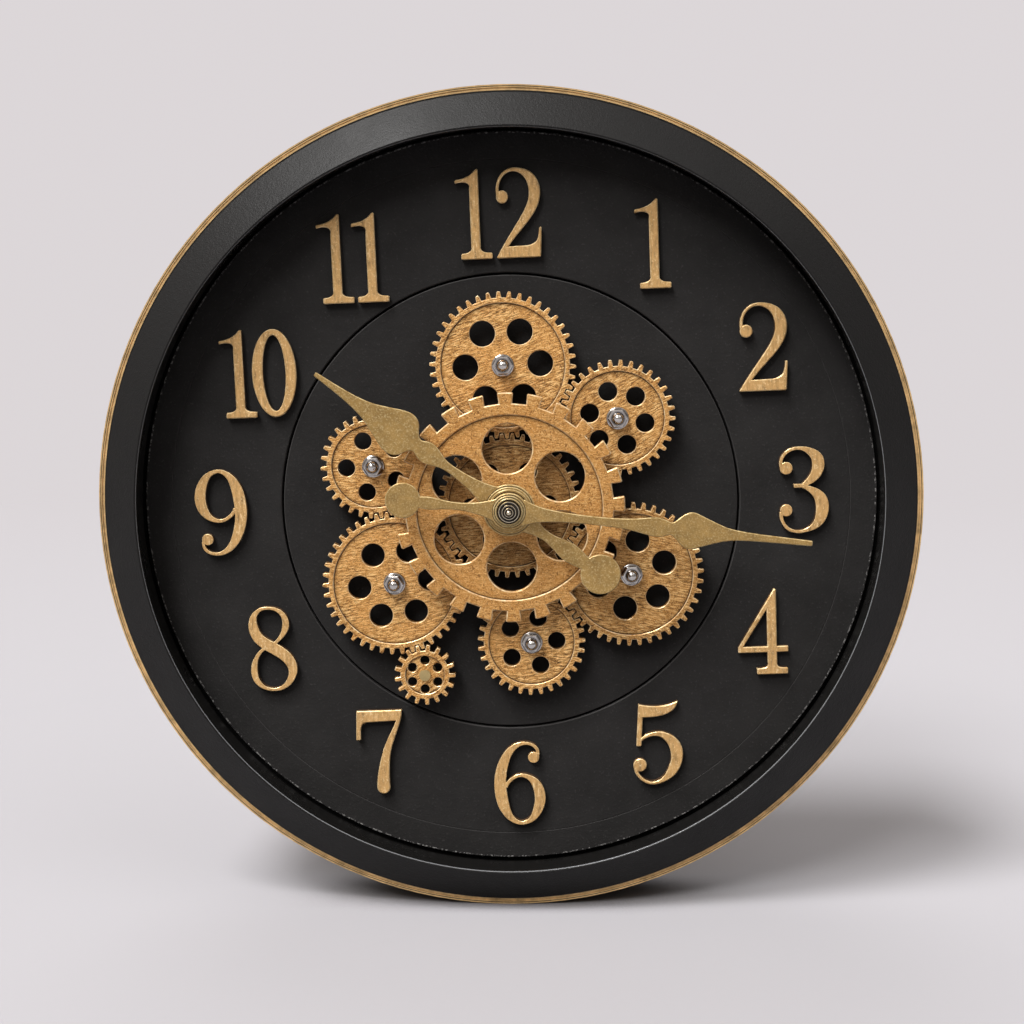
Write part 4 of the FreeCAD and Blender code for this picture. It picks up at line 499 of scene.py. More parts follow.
def black_paint(name, value, roughness, grit_size, grit_strength, edge_gain=0.0, specular=0.35, lip=None,
                chips=None):
    """Black paint with a fine texture, paler on slopes if wanted, with a painted highlight and less
    roughness on its lip and chipped at its rim where their radii are given."""
    material, tree, shader, place = new_finish(name, roughness, specular=specular)
    height, fleck = grit(tree, place, grit_size, 0.60)
    patches, base = mottled(tree, place, value, 38.0, 1.8, 0.75, 1.3)
    worn = cover(tree, base, scaled(value, 3.2), fleck, 0.5)
    if edge_gain:
        worn = cover(tree, worn, scaled(value, 9.0), use_group(tree, "slope")[0], edge_gain, 0.12, 0.30)
    sheen = spread(tree, patches, roughness + 0.06, roughness - 0.08)
    # Painted highlight: a pale grey ring on the lip, which is also made less rough
    if lip:
        lip_highlit = band(tree, place, *lip)
        worn = mix(tree, lip_highlit, worn, LIP_HIGHLIGHT_GREY)
        sheen = combine(tree, "SUBTRACT", sheen, combine(tree, "MULTIPLY", lip_highlit, 0.30), use_clamp=True)
    if chips:
        chipped = combine(tree, "MULTIPLY", band(tree, place, *chips), blotches(tree, place, 900.0, 6.0))
        worn = cover(tree, worn, CHIP_GREY, chipped, 1.0, 0.60)
    lay_on(tree, shader, worn, sheen)
    bump(tree, shader, height, grit_strength, 0.00025)
    return material


def rim_paint(name, gold, black):
    """Worn gold on the rim, lapped by the bezel's black inside, with painted shade as a dark line in its
    groove.
    """
    material, tree, shader, place = new_finish(name, 0.34, metallic=0.4)
    patches, base = mottled(tree, place, gold, 240.0, 3.0, 0.62, 1.25)
    # Painted shade: a dark line in the rim's groove
    lined = mix(tree, band(tree, place, *RIM_GROOVE_SHADE), base, scaled(gold, 0.08))
    lapped = mix(tree, band(tree, place, *RIM_LAP), lined, black)
    lay_on(tree, shader, lapped, spread(tree, patches, 0.46, 0.28))
    return material


def polished(name, value, roughness, scratch=0.10, rings=(), shade_reach=None):
    """Plated or turned metal with faint uneven polish, and painted shade in its corners if wanted."""
    material, tree, shader, place = new_finish(name, roughness, metallic=1.0)
    patches, base = mottled(tree, place, value, 300.0, 2.5, 0.82, 1.06)
    if shade_reach:
        base = grimy(tree, base, NUT_CORNER_SHADE, shade_reach)
    lay_on(tree, shader, ringed(tree, place, base, rings),
           spread(tree, patches, roughness, roughness + scratch))
    return material


def moulded(name, value, roughness):
    """Moulded plastic or rubber: nearly even, with a fine sparkled texture."""
    material, tree, shader, place = new_finish(name, roughness, specular=0.4)
    height, _ = grit(tree, place, 2200.0, 0.62)
    lay_on(tree, shader, mottled(tree, place, value, 60.0, 1.5, 0.85, 1.12)[1])
    bump(tree, shader, height, 0.25, 0.00012)
    return material


def metal(name):
    return polished(name, *METALS[name])


def moulding(name):
    return moulded(name, *MOULDINGS[name])


def fibreboard(name, value):
    """Pressed fibres, mottled at two scales."""
    material, tree, shader, place = new_finish(name, 0.85, specular=0.2)
    fibres, pores = grain(tree, place, 0.4, 900.0, 2.5)
    base = ramp(tree, fibres, [(0.32, scaled(value, 0.55)), (0.5, value), (0.68, scaled(value, 1.6))])
    patches = blotches(tree, place, 26.0, 1.8)
    lay_on(tree, shader, cover(tree, base, scaled(value, 0.7), patches, 0.4))
    bump(tree, shader, pores, 0.4, 0.0003)
    return material


def cell_sleeve(name, left):
    """A plain dark sleeve with a copper-coloured end on the side of the small pole."""
    material, tree, shader, place = new_finish(name, 0.3, metallic=0.75)
    across = add_node(tree, "ShaderNodeSeparateXYZ", {0: place}).outputs["X"]
    base = cover(tree, CELL_SLEEVE, CELL_BAND, across, 1.0, left, left + BAND_SOFTNESS)
    lay_on(tree, shader, cover(tree, base, SLEEVE_SCUFF, blotches(tree, place, 120.0, 1.6), 0.25))
    return material


# Meshes

# A chamfer is narrowed by these shares until volume and area change by no more than is sound
CHAMFER_SHARES = (1.0, 0.6, 0.35)
LEAST_VOLUME_SHARE, LEAST_AREA_SHARE = 0.93, 0.90
CORNER_ANGLE, FLAT_ANGLE = math.radians(38.0), math.radians(0.5)
SHARP_ANGLE, PART_SHARP_ANGLE = math.radians(32), math.radians(35)
SIDE_NORMAL, JOIN_DISTANCE = 0.5, 1e-6

# Round a hand's hub: the boss, the radius past which only the blade is left, and the least rise
BOSS_RADIUS, BLADE_START, BOSS_RISE = 0.0104, 0.015, 0.00005


def bare_tree(owner):
    """The node tree of a new material or world, cleared."""
    owner.use_nodes = True
    owner.node_tree.nodes.clear()
    return owner.node_tree


def new_object(name, data):
    """Puts a mesh, a lamp or a camera into the scene."""
    item = bpy.data.objects.new(name, data)
    bpy.context.scene.collection.objects.link(item)
    return item


def joined_mesh(node):
    """A joined-up copy of a node's mesh, cleared of materials and stored normals."""
    mesh = NODES[node].data.copy()
    mesh.materials.clear()
    if "custom_normal" in mesh.attributes:
        mesh.attributes.remove(mesh.attributes["custom_normal"])
    shape = bmesh.new()
    shape.from_mesh(mesh)
    bmesh.ops.remove_doubles(shape, verts=shape.verts, dist=JOIN_DISTANCE)
    for face in shape.faces:
        face.smooth = True
        face.material_index = 0
    return mesh, shape


def rub_edges(shape, width):
    """Chamfers every outward corner and gives the new faces the second material. Where the
    result isn't sound, flat areas keep their triangles or the chamfer is made narrower."""
    def measures(form):
        return form.calc_volume(), sum(face.calc_area() for face in form.faces)
    volume, area = measures(shape)
    for part in CHAMFER_SHARES:
        for flatten in (True, False):
            trial = shape.copy()
            if flatten:
                bmesh.ops.dissolve_limit(trial, angle_limit=FLAT_ANGLE, verts=trial.verts,
                                         edges=trial.edges)
            edges = [edge for edge in trial.edges if len(edge.link_faces) == 2 and edge.is_convex
                     and edge.calc_face_angle() > CORNER_ANGLE]
            bmesh.ops.bevel(trial, geom=edges, offset=width * part, offset_type="OFFSET", segments=1,
                            profile=0.5, affect="EDGES", clamp_overlap=False, material=1)
            bmesh.ops.triangulate(trial, faces=trial.faces)
            new_volume, new_area = measures(trial)
            if LEAST_VOLUME_SHARE < new_volume / volume < 1.0 and LEAST_AREA_SHARE < new_area / area < 1.0:
                shape.free()
                return trial
            trial.free()
    raise RuntimeError("no chamfer fits this piece")


def stand_in(piece, node, body):
    """Lets a piece stand for a node and ride with its body."""
    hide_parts(node)
    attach(piece, body)


def finish_piece(name, mesh, shape, materials, body, node):
    """Turns the worked mesh into a piece in the place of a node."""
    shape.to_mesh(mesh)
    shape.free()
    mesh.name = name
    mesh.set_sharp_from_angle(angle=SHARP_ANGLE)
    for material in materials:
        mesh.materials.append(material)
    stand_in(new_object(name, mesh), node, body)


def paint_boss(shape, whole):
    """Darkens the steps of the raised rings round a hand's hub with painted shade, and gives the whole
    boss the third material where it is plain metal."""
    def reach(place):
        return math.hypot(place.x - HUB.x, place.z - HUB.z)
    front = min(vertex.co.y for vertex in shape.verts if reach(vertex.co) > BLADE_START)
    for face in shape.faces:
        middle = face.calc_center_median()
        if reach(middle) < BOSS_RADIUS and middle.y < front - BOSS_RISE and face.material_index == 0:
            if abs(face.normal.y) < SIDE_NORMAL:
                face.material_index = 3
            elif whole:
                face.material_index = 2


def worn_copy(node, name, body, width, materials, darken_sides=False, boss=None):
    """A node's own shape with its outward corners rubbed, in the given finishes."""
    mesh, shape = joined_mesh(node)
    shape = rub_edges(shape, width)
    # Walls turned away from the dial's axis take the third, darker finish: painted shade on the gears'
    # walls, and darker paint with painted shade on the numerals' sides
    if darken_sides:
        for face in shape.faces:
            if face.material_index == 0 and abs(face.normal.y) < SIDE_NORMAL:
                face.material_index = 2
    if boss is not None:
        paint_boss(shape, boss)
    finish_piece(name, mesh, shape, materials, body, node)


def dress(material, *nodes):
    """Gives nodes that keep their own shape another finish."""
    for node in nodes:
        mesh = NODES[node].data
        mesh.materials.clear()
        mesh.materials.append(material)
        for face in mesh.polygons:
            face.material_index = 0


def mesh_object(name, shape):
    mesh = bpy.data.meshes.new(name)
    shape.to_mesh(mesh)
    shape.free()
    return new_object(name, mesh)


def add_ring(shape, radius, depth, count):
    """Points round the front-to-back axis."""
    turns = [2 * math.pi * step / count for step in range(count)]
    return [shape.verts.new((radius * math.cos(turn), depth, radius * math.sin(turn))) for turn in turns]


def bridge(shape, near, far):
    """Faces between two rings of points, one of which may be a single point."""
    count = max(len(near), len(far))
    faces = []
    for step in range(count):
        following = (step + 1) % count
        corners = dict.fromkeys((near[step % len(near)], near[following % len(near)],
                                 far[following % len(far)], far[step % len(far)]))
        faces.append(shape.faces.new(tuple(corners)))
    return faces


def lathe(shape, profile, steps, dark=()):
    """Adds a closed form turned about the front-to-back axis from (radius, depth) points; a point
    on the axis closes it. The runs numbered in dark take the second material."""
    rings = [add_ring(shape, radius, depth, steps) if radius else [shape.verts.new((0.0, depth, 0.0))]
             for radius, depth in profile]
    for run, (near, far) in enumerate(zip(rings, rings[1:])):
        for face in bridge(shape, near, far):
            face.material_index = int(run in dark)
            face.smooth = True
    bmesh.ops.recalc_face_normals(shape, faces=shape.faces)
    return shape


# Radius and height of each point of the tip nut's turned outline, in shares of the nut's own
TIP_OUTLINE = [(0.0, 0.0), (1.0, 0.0), (1.0, 0.13), (0.96, 0.22), (0.90, 0.22), (0.89, 0.08),
               (0.73, 0.08), (0.70, 0.40), (0.66, 0.48), (0.61, 0.48), (0.60, 0.30), (0.46, 0.30),
               (0.44, 0.66), (0.40, 0.74), (0.36, 0.74), (0.35, 0.56), (0.25, 0.56), (0.24, 0.84),
               (0.19, 0.93), (0.10, 0.985), (0.0, 1.0)]
# Runs of the tip nut's outline whose groove walls take painted shade
TIP_GROOVES = (4, 5, 9, 10, 14, 15)
TIP_STEPS = 64


def turned_tip(node):
    """A small nut turned with three grooves and a rounded end, in the place of a node."""
    low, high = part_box(node)
    radius, tall = (high.x - low.x) / 2, high.y - low.y
    outline = [(radius * out, -tall * up) for out, up in TIP_OUTLINE]
    shape = lathe(bmesh.new(), outline, TIP_STEPS, TIP_GROOVES)
    bmesh.ops.translate(shape, verts=shape.verts, vec=(HUB.x, high.y, HUB.z))
    return shape


# A domed nut in shares of its width across the flats, its height or its dome's radius
FLANGE_OUTLINE = [(0.0, 0.0), (0.62, 0.0), (0.62, 0.10), (0.50, 0.22), (0.0, 0.22)]
HEXAGON_FOOT, HEXAGON_CUT, HEXAGON_FACE = 0.20, 0.05, 0.51
COLLAR, COLLAR_HEIGHT, COLLAR_SINK, DOME_LIFT = 1.06, 0.0002, 0.0001, 0.0004
NUT_STEPS, DOME_STEPS = 48, 10


def domed_nut(flats, height, dome):
    """A hexagon nut with chamfered corners, a flange and a domed end towards the reader."""
    shape = lathe(bmesh.new(), [(flats * out, -height * up) for out, up in FLANGE_OUTLINE], NUT_STEPS)
    corner = flats / math.sqrt(3)
    rings = [add_ring(shape, radius, depth, 6) for radius, depth in (
        (corner, -height * HEXAGON_FOOT), (corner, flats * HEXAGON_CUT - height),
        (flats * HEXAGON_FACE, -height))]
    for near, far in zip(rings, rings[1:]):
        bridge(shape, near, far)
    shape.faces.new(rings[0][::-1])
    shape.faces.new(rings[-1])
    outline = [(0.0, COLLAR_SINK - height), (dome * COLLAR, COLLAR_SINK - height),
               (dome * COLLAR, -height - COLLAR_HEIGHT)]
    for step in range(DOME_STEPS):
        turn = math.pi / 2 * step / DOME_STEPS
        outline.append((dome * math.cos(turn), -height - DOME_LIFT - dome * math.sin(turn)))
    return lathe(shape, outline + [(0.0, -height - DOME_LIFT - dome)], NUT_STEPS)


# A screw head's flat and its rounding, and its cross recess, in shares of the head
HEAD_FLAT, HEAD_ROUND, HEAD_STEPS = 0.92, 0.08, 40
CROSS_WIDTH, CROSS_REACH, CROSS_DEPTH = 0.15, 0.62, 0.62


def cross_screw(head, sink, shank, total):
    """A flush screw with a cross recess in its head, pointing from the back towards the reader."""
    screw = mesh_object("screw_form", lathe(bmesh.new(), [
        (0.0, 0.0), (head * HEAD_FLAT, 0.0), (head, -head * HEAD_ROUND), (head, -sink), (shank, -sink),
        (shank, -total), (0.0, -total)], HEAD_STEPS))
    narrow, wide = head * CROSS_WIDTH, head * CROSS_REACH
    cutter = bmesh.new()
    for across, up in ((wide, narrow), (narrow, wide)):
        made = bmesh.ops.create_cube(cutter, size=2.0)
        bmesh.ops.scale(cutter, vec=(across, sink * CROSS_DEPTH, up), verts=made["verts"])
    cross = mesh_object("cross_form", cutter)
    modifier = screw.modifiers.new("Recess", "BOOLEAN")
    modifier.operation = "DIFFERENCE"
    modifier.solver = "EXACT"
    modifier.use_self = True
    modifier.object = cross
    keep_result(screw)
    bpy.data.objects.remove(cross)
    return screw


def keep_result(piece):
    """Turns what a piece's modifiers make into its own mesh, and takes them off."""
    bpy.context.view_layer.update()
    done = bpy.data.meshes.new_from_object(piece.evaluated_get(bpy.context.evaluated_depsgraph_get()))
    piece.modifiers.clear()
    piece.data = done


# Geometry nodes: a part on every point, and a part round a circle

def spread_tree(name, round_a_circle):
    """A tree that puts one part on points, makes them real and gives them a material."""
    circle_inputs = ["Count", "Radius", "Centre", "First"] if round_a_circle else []
    tree, start, end = new_group(name, ["Geometry", "Part", "Material", *circle_inputs], ["Geometry"],
                                 "GeometryNodeTree")
    points = start["Geometry"]
    if round_a_circle:
        circle = add_node(tree, "GeometryNodeMeshCircle", {
            "Vertices": start["Count"], "Radius": start["Radius"]})
        upright = add_node(tree, "ShaderNodeCombineXYZ", {"X": math.pi / 2, "Y": start["First"]})
        points = add_node(tree, "GeometryNodeTransform", {
            "Geometry": circle.outputs["Mesh"], "Translation": start["Centre"],
            "Rotation": upright.outputs[0]}).outputs["Geometry"]
    part = add_node(tree, "GeometryNodeObjectInfo", {"Object": start["Part"]}).outputs["Geometry"]
    copies = add_node(tree, "GeometryNodeInstanceOnPoints", {"Points": points, "Instance": part})
    real = add_node(tree, "GeometryNodeRealizeInstances", {"Geometry": copies.outputs["Instances"]})
    painted = add_node(tree, "GeometryNodeSetMaterial", {
        "Geometry": real.outputs["Geometry"], "Material": start["Material"]})
    put(tree, end["Geometry"], painted.outputs["Geometry"])
    return tree


def spread_parts(name, tree, part, places, inputs):
    """Runs a tree on points at the given places and keeps the result as one plain mesh."""
    mesh = bpy.data.meshes.new(name)
    mesh.from_pydata(places, [], [])
    carrier = new_object(name, mesh)
    modifier = carrier.modifiers.new("Parts", "NODES")
    modifier.node_group = tree
    sockets = {item.name: item.identifier for item in tree.interface.items_tree if item.in_out == "INPUT"}
    for key, value in {**inputs, "Part": part}.items():
        modifier[sockets[key]] = value
    keep_result(carrier)
    carrier.data.set_sharp_from_angle(angle=PART_SHARP_ANGLE)
    bpy.data.objects.remove(part)
    return carrier


# Operators, one for each group of like pieces

def chosen(context):
    """The colours and the sizes that the user has chosen."""
    return context.scene.clock_colours, context.scene.clock_sizes


class CLOCK_OT_case(bpy.types.Operator):
    """Paint the bezel, the rim, the ring and the two dial panels, and finish the back"""

    bl_idname = "clock.paint_case"
    bl_label = "Paint the case"

    def execute(self, context):
        colours = context.scene.clock_colours
        black, dial = colours.case_black, colours.dial_black
        # The bezel's lip takes a painted highlight
        dress(black_paint("Bezel paint", black, 0.50, 1500.0, 0.45, specular=0.22, lip=LIP_HIGHLIGHT),
              "front_bezel")
        dress(black_paint("Ring moulding", black, 0.30, 1400.0, 0.10, specular=0.5), "retaining_ring")
        dress(black_paint("Dial paint", dial, 0.62, 1100.0, 0.55, edge_gain=0.15, specular=0.07,
                          chips=DIAL_CHIPS), "dial_ring", "gear_plate")
        dress(black_paint("Drum paint", black, 0.5, 900.0, 0.3), "case_drum")
        dress(rim_paint("Rim gold", colours.rim_gold, black), "trim_ring")
        dress(fibreboard("Fibreboard", colours.board), "back_cover")
        # Painted shade: the board seen through the gap between the dial panels is made darker than the dial
        dress(black_paint("Board paint", scaled(dial, 0.15), 0.8, 700.0, 0.4, specular=0.05),
              "carrier_board")
        dress(metal("Plated steel"), "wall_hanger")
        dress(moulding("Rubber"), "rear_feet")
        return {"FINISHED"}


class CLOCK_OT_gears(bpy.types.Operator):
    """Make the wooden gears with grain, painted shade on their sides and worn edges"""

    bl_idname = "clock.make_gears"
    bl_label = "Make the gears"

    def execute(self, context):
        colours, sizes = chosen(context)
        gold, dark, light = colours.gear_gold, colours.gear_dark, colours.gear_light
        edge = worn_edge("Worn gear edge", colours.gear_edge, gold)
        # Painted shade: the gears' walls take a darker copy of the gold wood
        side = painted_wood("Gear side", 0.0, scaled(gold, 0.38), scaled(dark, 0.6), scaled(gold, 0.8))
        for name, turn in GRAIN_TURNS.items():
            # Painted shade: gears that sit in shade get darker copies of the gold wood
            tone = GEAR_SHADING.get(name, 1.0)
            grain_share, width = (0.35, sizes.coarse_edge) if name == "coarse" else (1.0, sizes.gear_edge)
            wood = painted_wood(f"Gold wood {name.replace('_', ' ')}", turn, scaled(gold, tone),
                                scaled(dark, tone), scaled(light, tone), grain_share)
            worn_copy(f"{name}_gear", f"{name}_wheel", GEAR_BODIES.get(name, name), width,
                      [wood, edge, side], darken_sides=True)
        return {"FINISHED"}


class CLOCK_OT_numerals(bpy.types.Operator):
    """Make the raised numerals with worn edges and dark sides"""

    bl_idname = "clock.make_numerals"
    bl_label = "Make the numerals"

    def execute(self, context):
        colours, sizes = chosen(context)
        gold, edge = colours.numeral_gold, colours.numeral_edge
        # The numerals' sides take darker paint with painted shade
        finishes = [numeral_paint("Numeral gold", gold, edge), worn_edge("Worn numeral edge", edge, gold),
                    moulded("Numeral side", colours.numeral_side, 0.6)]
        for hour in range(1, 13):
            worn_copy(f"numeral_{hour}", f"raised_numeral_{hour}", "case",
                      sizes.numeral_edge, finishes, darken_sides=True)
        return {"FINISHED"}


class CLOCK_OT_hands(bpy.types.Operator):
    """Make the two hands and the small nut on the tip"""

    bl_idname = "clock.make_hands"
    bl_label = "Make the hands"

    def execute(self, context):
        colours, sizes = chosen(context)
        gold, edge = colours.hand_gold, colours.hand_edge
        # Painted shade: dark rings and dark step walls round the hub, and dark grooves in the tip nut
        groove = moulding("Dirt in the grooves")
        for name, rings in HUB_STEPS.items():
            finishes = [hand_paint(f"Gold of the {name} hand", gold, edge, rings),
                        worn_edge(f"Bare edge of the {name} hand", edge, gold),
                        polished(f"Turned brass of the {name} hand", scaled(colours.brass, 0.66), 0.22,
                                 rings=rings), groove]
            worn_copy(f"{name}_hand", f"spade_{name}_hand", name, sizes.hand_edge, finishes,
                      boss=name == "minute")
        finish_piece("turned_tip_nut", bpy.data.meshes.new("turned_tip_nut"), turned_tip("hand_nut"),
                     [metal("Tip of the arbor"), groove], "minute", "hand_nut")
        return {"FINISHED"}


class CLOCK_OT_fittings(bpy.types.Operator):
    """Make the domed nuts on the posts and finish posts, washers, neck and sleeve"""

    bl_idname = "clock.make_fittings"
    bl_label = "Make the fittings"

    def execute(self, context):
        colours, sizes = chosen(context)
        # Painted shade in the nuts' corners
        chrome = polished("Polished chrome", colours.chrome, 0.12, 0.08, shade_reach=NUT_SHADE_REACH)
        dress(metal("Dull washer"), "post_washers", "drive_washer")
        dress(chrome, "drive_arbor")
        dress(polished("Brushed brass", colours.brass, 0.28), "gear_posts", "movement_bush", "neck_collar",
              "neck_nut", "centre_sleeve", "hour_wheel")
        dress(metal("Turned steel"), "minute_arbor", "motor_pinion", "drive_motor")
        tree = spread_tree("Part on each post", False)
        for name, body, node, gears in (("domed_post_nuts", "case", "post_nuts", POST_GEARS),
                                        ("domed_drive_nut", "top_drive", "drive_nut", ("top",))):
            axes = [AXES[f"{gear}_spin"] for gear in gears]
            places = [(axis.x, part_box(node)[1].y, axis.z) for axis in axes]
            part = mesh_object("nut_form", domed_nut(sizes.nut_flats, sizes.nut_height, sizes.dome_radius))
            nuts = spread_parts(name, tree, part, places, {"Material": chrome})
            stand_in(nuts, node, body)
        return {"FINISHED"}


class CLOCK_OT_screws(bpy.types.Operator):
    """Make the screws round the back cover"""

    bl_idname = "clock.make_screws"
    bl_label = "Make the screws"

    def execute(self, context):
        sizes = context.scene.clock_sizes
        low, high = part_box("case_screws")
        part = cross_screw(sizes.screw_head, sizes.screw_sink, sizes.screw_head / 2, high.y - low.y)
        screws = spread_parts("cover_screws", spread_tree("Parts round a circle", True), part, [], {
            "Material": metal("Zinc plate"), "Count": sizes.screw_count, "Radius": sizes.screw_circle,
            "Centre": (HUB.x, high.y, HUB.z), "First": -math.pi / sizes.screw_count})
        stand_in(screws, "case_screws", "case")
        return {"FINISHED"}


class CLOCK_OT_works(bpy.types.Operator):
    """Finish the two battery modules, their wheels, the cells, the knob and the switch"""

    bl_idname = "clock.finish_works"
    bl_label = "Finish the works"

    def execute(self, context):
        case, lid, white = (moulding(f"{tone} moulding") for tone in ("Black", "Grey", "White"))
        edge = context.scene.clock_sizes.fitting_edge
        for node, body, finish, slot in (
                ("movement_case", "case", case, "module_black"),
                ("motor_case", "case", case, "module_black"),
                ("movement_lid", "case", lid, "lid_grey"), ("motor_lid", "case", lid, "lid_grey"),
                ("motor_switch", "switch", white, "switch_white")):
            worn_copy(node, f"moulded_{node}", body, edge, [finish, finish])
        dress(moulding("Knob moulding"), "setting_knob")
        dress(white, "drive_wheel", "motion_wheel")
        dress(metal("Nickel plate"), "cell_contacts")
        for node in ("clock_cell", "motor_cell"):
            low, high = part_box(node)
            left = high.x - (high.x - low.x) * BAND_SHARE
            dress(cell_sleeve(f"Sleeve of {node.replace('_', ' ')}", left), node)
        return {"FINISHED"}


# The floor's size, and the painted contact shadow where the clock covers it: how far it looks, from what
# openness to what openness, by what share and with what tone
FLOOR_SIZE = 30.0
CONTACT_REACH, CONTACT_OPEN, CONTACT_SHUT, CONTACT_SHARE, CONTACT_TONE = 0.05, 0.50, 0.15, 0.75, 0.2

# Where the glow round the key light ends, and the part of the background that reflections take
# from the front and from behind
GLOW_END = 0.15
FRONT_DEPTH, REAR_DEPTH, FRONT_SHARE, REAR_SHARE = -0.35, 0.25, 0.2, 1.0

SENSOR_MM, CLIP_START, CLIP_END = 36.0, 0.01, 100.0


def outward(azimuth, elevation):
    """From the clock to the left of the dial's axis and above the floor."""
    return Vector((-math.sin(azimuth) * math.cos(elevation), -math.cos(azimuth) * math.cos(elevation),
                   math.sin(elevation)))


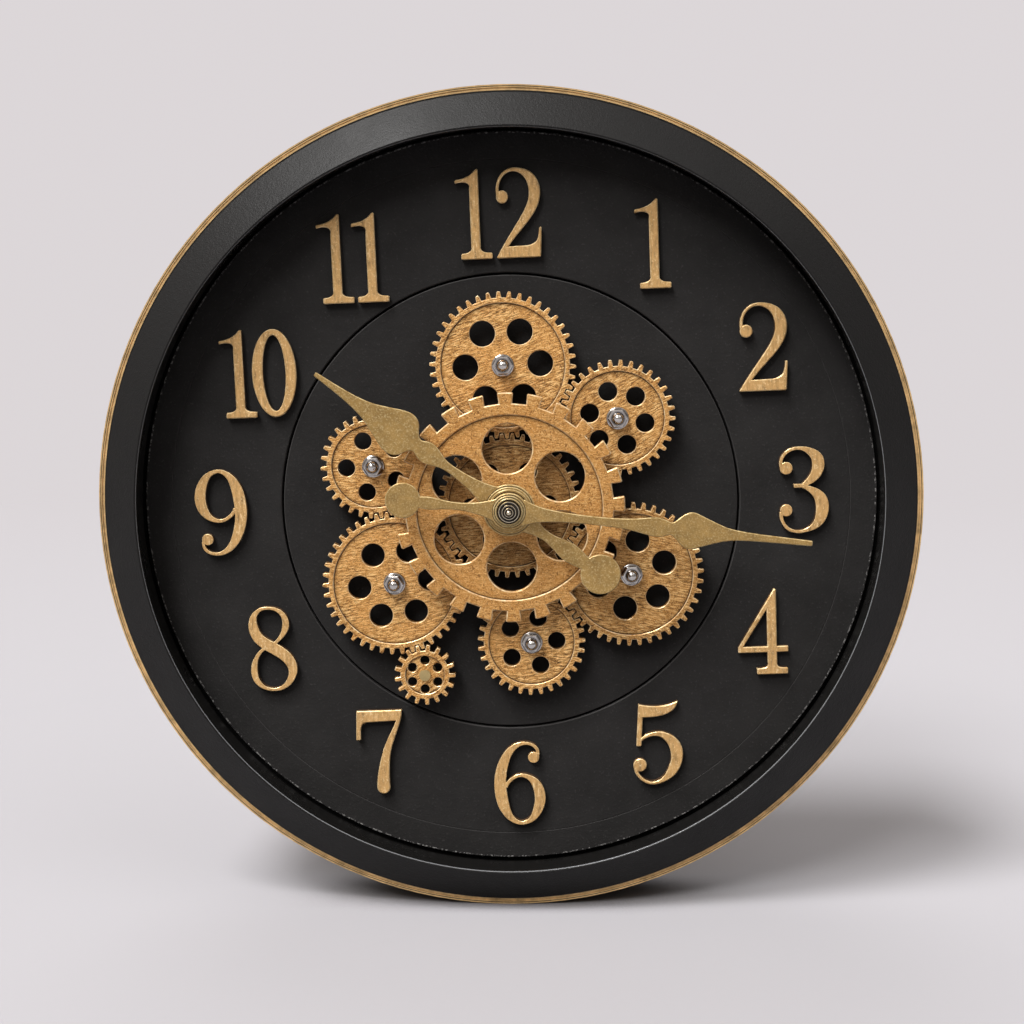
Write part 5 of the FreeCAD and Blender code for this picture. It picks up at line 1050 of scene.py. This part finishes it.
class CLOCK_OT_stage(bpy.types.Operator):
    """Set up the floor, the background, the light and the camera"""

    bl_idname = "clock.set_stage"
    bl_label = "Set the stage"

    def execute(self, context):
        scene, studio, colours = context.scene, context.scene.clock_studio, context.scene.clock_colours
        self.lay_floor(studio, colours)
        self.light_world(scene, studio, colours)
        for name in LAMPS:
            parts = (getattr(studio, f"{name}_{part}") for part in LAMP_PARTS)
            self.add_lamp(name.capitalize(), *parts, colours.lamp)
        self.aim_camera(scene, studio)
        scene.view_settings.view_transform = "Standard"
        return {"FINISHED"}

    def lay_floor(self, studio, colours):
        """Paper that keeps the shadow near the clock, with painted shade darkest where the clock covers it,
        and melts into the background further out. It turns about the dial's axis with the camera, and the
        round case rests on it."""
        plane = bmesh.new()
        bmesh.ops.create_grid(plane, x_segments=1, y_segments=1, size=FLOOR_SIZE)
        bmesh.ops.rotate(plane, verts=plane.verts, cent=HUB, matrix=Matrix.Rotation(-studio.tilt, 3, "Y"))
        floor = mesh_object("studio_floor", plane)
        material = bpy.data.materials.new("Floor paper")
        tree = bare_tree(material)
        seen, dim = seen_rays(tree), colours.bounce
        # Painted contact shadow: the floor darkens where the clock closes it in
        openness = add_node(tree, "ShaderNodeAmbientOcclusion", {"Distance": CONTACT_REACH}, samples=8)
        shown = cover(tree, colours.floor, scaled(dim, CONTACT_TONE), openness.outputs["AO"],
                      CONTACT_SHARE, CONTACT_OPEN, CONTACT_SHUT)
        matte = add_node(tree, "ShaderNodeBsdfDiffuse", {"Color": mix(tree, seen, dim, shown)})
        plain = add_node(tree, "ShaderNodeEmission", {"Color": mix(tree, seen, dim, colours.backdrop)})
        away = reach_of(tree, tree.nodes.new("ShaderNodeTexCoord").outputs["Object"])
        melted = add_node(tree, "ShaderNodeMixShader", {
            0: spread(tree, away, 0.0, 1.0, studio.melt_start, studio.melt_end), 1: matte.outputs[0],
            2: plain.outputs[0]})
        add_node(tree, "ShaderNodeOutputMaterial", {"Surface": melted.outputs[0]})
        floor.data.materials.append(material)

    def light_world(self, scene, studio, colours):
        """The pale background for the camera, and a soft glow round the key light for the clock.
        Reflections take the background whole behind the clock and little of it in front, where
        the studio is dark around its lamps."""
        scene.world = bpy.data.worlds.new("Studio")
        tree = bare_tree(scene.world)
        towards = tree.nodes.new("ShaderNodeTexCoord").outputs["Generated"]
        facing = add_node(tree, "ShaderNodeVectorMath", {
            0: towards, 1: outward(studio.key_azimuth, studio.key_elevation)}, operation="DOT_PRODUCT")
        glow = spread(tree, facing.outputs["Value"], studio.fill, studio.fill + studio.glow, GLOW_END)
        depth = add_node(tree, "ShaderNodeSeparateXYZ", {0: towards}).outputs["Y"]
        seen = seen_rays(tree, spread(tree, depth, FRONT_SHARE, REAR_SHARE, FRONT_DEPTH, REAR_DEPTH))
        light = add_node(tree, "ShaderNodeBackground", {"Color": colours.room, "Strength": glow})
        shown = add_node(tree, "ShaderNodeBackground", {"Color": colours.backdrop, "Strength": 1.0})
        choice = add_node(tree, "ShaderNodeMixShader", {0: seen, 1: light.outputs[0], 2: shown.outputs[0]})
        add_node(tree, "ShaderNodeOutputWorld", {"Surface": choice.outputs[0]})

    def add_lamp(self, name, azimuth, elevation, strength, width, tint):
        away = outward(azimuth, elevation)
        lamp = bpy.data.lights.new(name, "SUN")
        lamp.energy = strength
        lamp.angle = width
        lamp.color = tint
        light = new_object(name, lamp)
        light.rotation_euler = away.to_track_quat("Z", "Y").to_euler()
        light.location = HUB + away

    def aim_camera(self, scene, studio):
        back = outward(-studio.azimuth, studio.elevation)
        right = (-back).cross(Vector((0, 0, 1))).normalized()
        spot = Vector((studio.aim_across, 0.0, -studio.aim_drop)) + back * studio.distance
        about_dial = Matrix.Rotation(-studio.tilt, 3, "Y")
        axes = Matrix([about_dial @ axis for axis in (right, right.cross(-back), back)]).transposed()
        view = bpy.data.cameras.new("View")
        view.lens = studio.lens
        view.sensor_width = SENSOR_MM
        view.sensor_fit = "HORIZONTAL"
        view.shift_x, view.shift_y = studio.shift_across, studio.shift_up
        view.clip_start, view.clip_end = CLIP_START, CLIP_END
        place = about_dial @ spot + Vector((HUB.x, DIAL_Y, HUB.z))
        scene.camera = new_object("View", view)
        scene.camera.matrix_world = Matrix.Translation(place) @ axes.to_4x4()


OPERATORS = (CLOCK_OT_stage, CLOCK_OT_case, CLOCK_OT_gears, CLOCK_OT_numerals, CLOCK_OT_hands,
             CLOCK_OT_fittings, CLOCK_OT_screws, CLOCK_OT_works)


class CLOCK_PT_panel(bpy.types.Panel):
    """The clock's settings and steps"""

    bl_idname = "CLOCK_PT_panel"
    bl_label = "Gear clock"
    bl_space_type = "VIEW_3D"
    bl_region_type = "UI"
    bl_category = "Clock"

    def draw(self, context):
        scene = context.scene
        for group in (scene.clock_colours, scene.clock_sizes, scene.clock_studio):
            box = self.layout.box()
            for key in group.__annotations__:
                box.prop(group, key)
        for step in OPERATORS:
            self.layout.operator(step.bl_idname)


CLASSES = (ClockColours, ClockSizes, ClockStudio) + OPERATORS + (CLOCK_PT_panel,)


def register():
    for item in CLASSES:
        bpy.utils.register_class(item)
    bpy.types.Scene.clock_colours = PointerProperty(type=ClockColours)
    bpy.types.Scene.clock_sizes = PointerProperty(type=ClockSizes)
    bpy.types.Scene.clock_studio = PointerProperty(type=ClockStudio)


def unregister():
    del bpy.types.Scene.clock_studio
    del bpy.types.Scene.clock_sizes
    del bpy.types.Scene.clock_colours
    for item in reversed(CLASSES):
        bpy.utils.unregister_class(item)


def main():
    register()
    bpy.ops.clock.set_stage()
    bpy.ops.clock.paint_case()
    bpy.ops.clock.make_gears()
    bpy.ops.clock.make_numerals()
    bpy.ops.clock.make_hands()
    bpy.ops.clock.make_fittings()
    bpy.ops.clock.make_screws()
    bpy.ops.clock.finish_works()


if __name__ == "__main__":
    main()
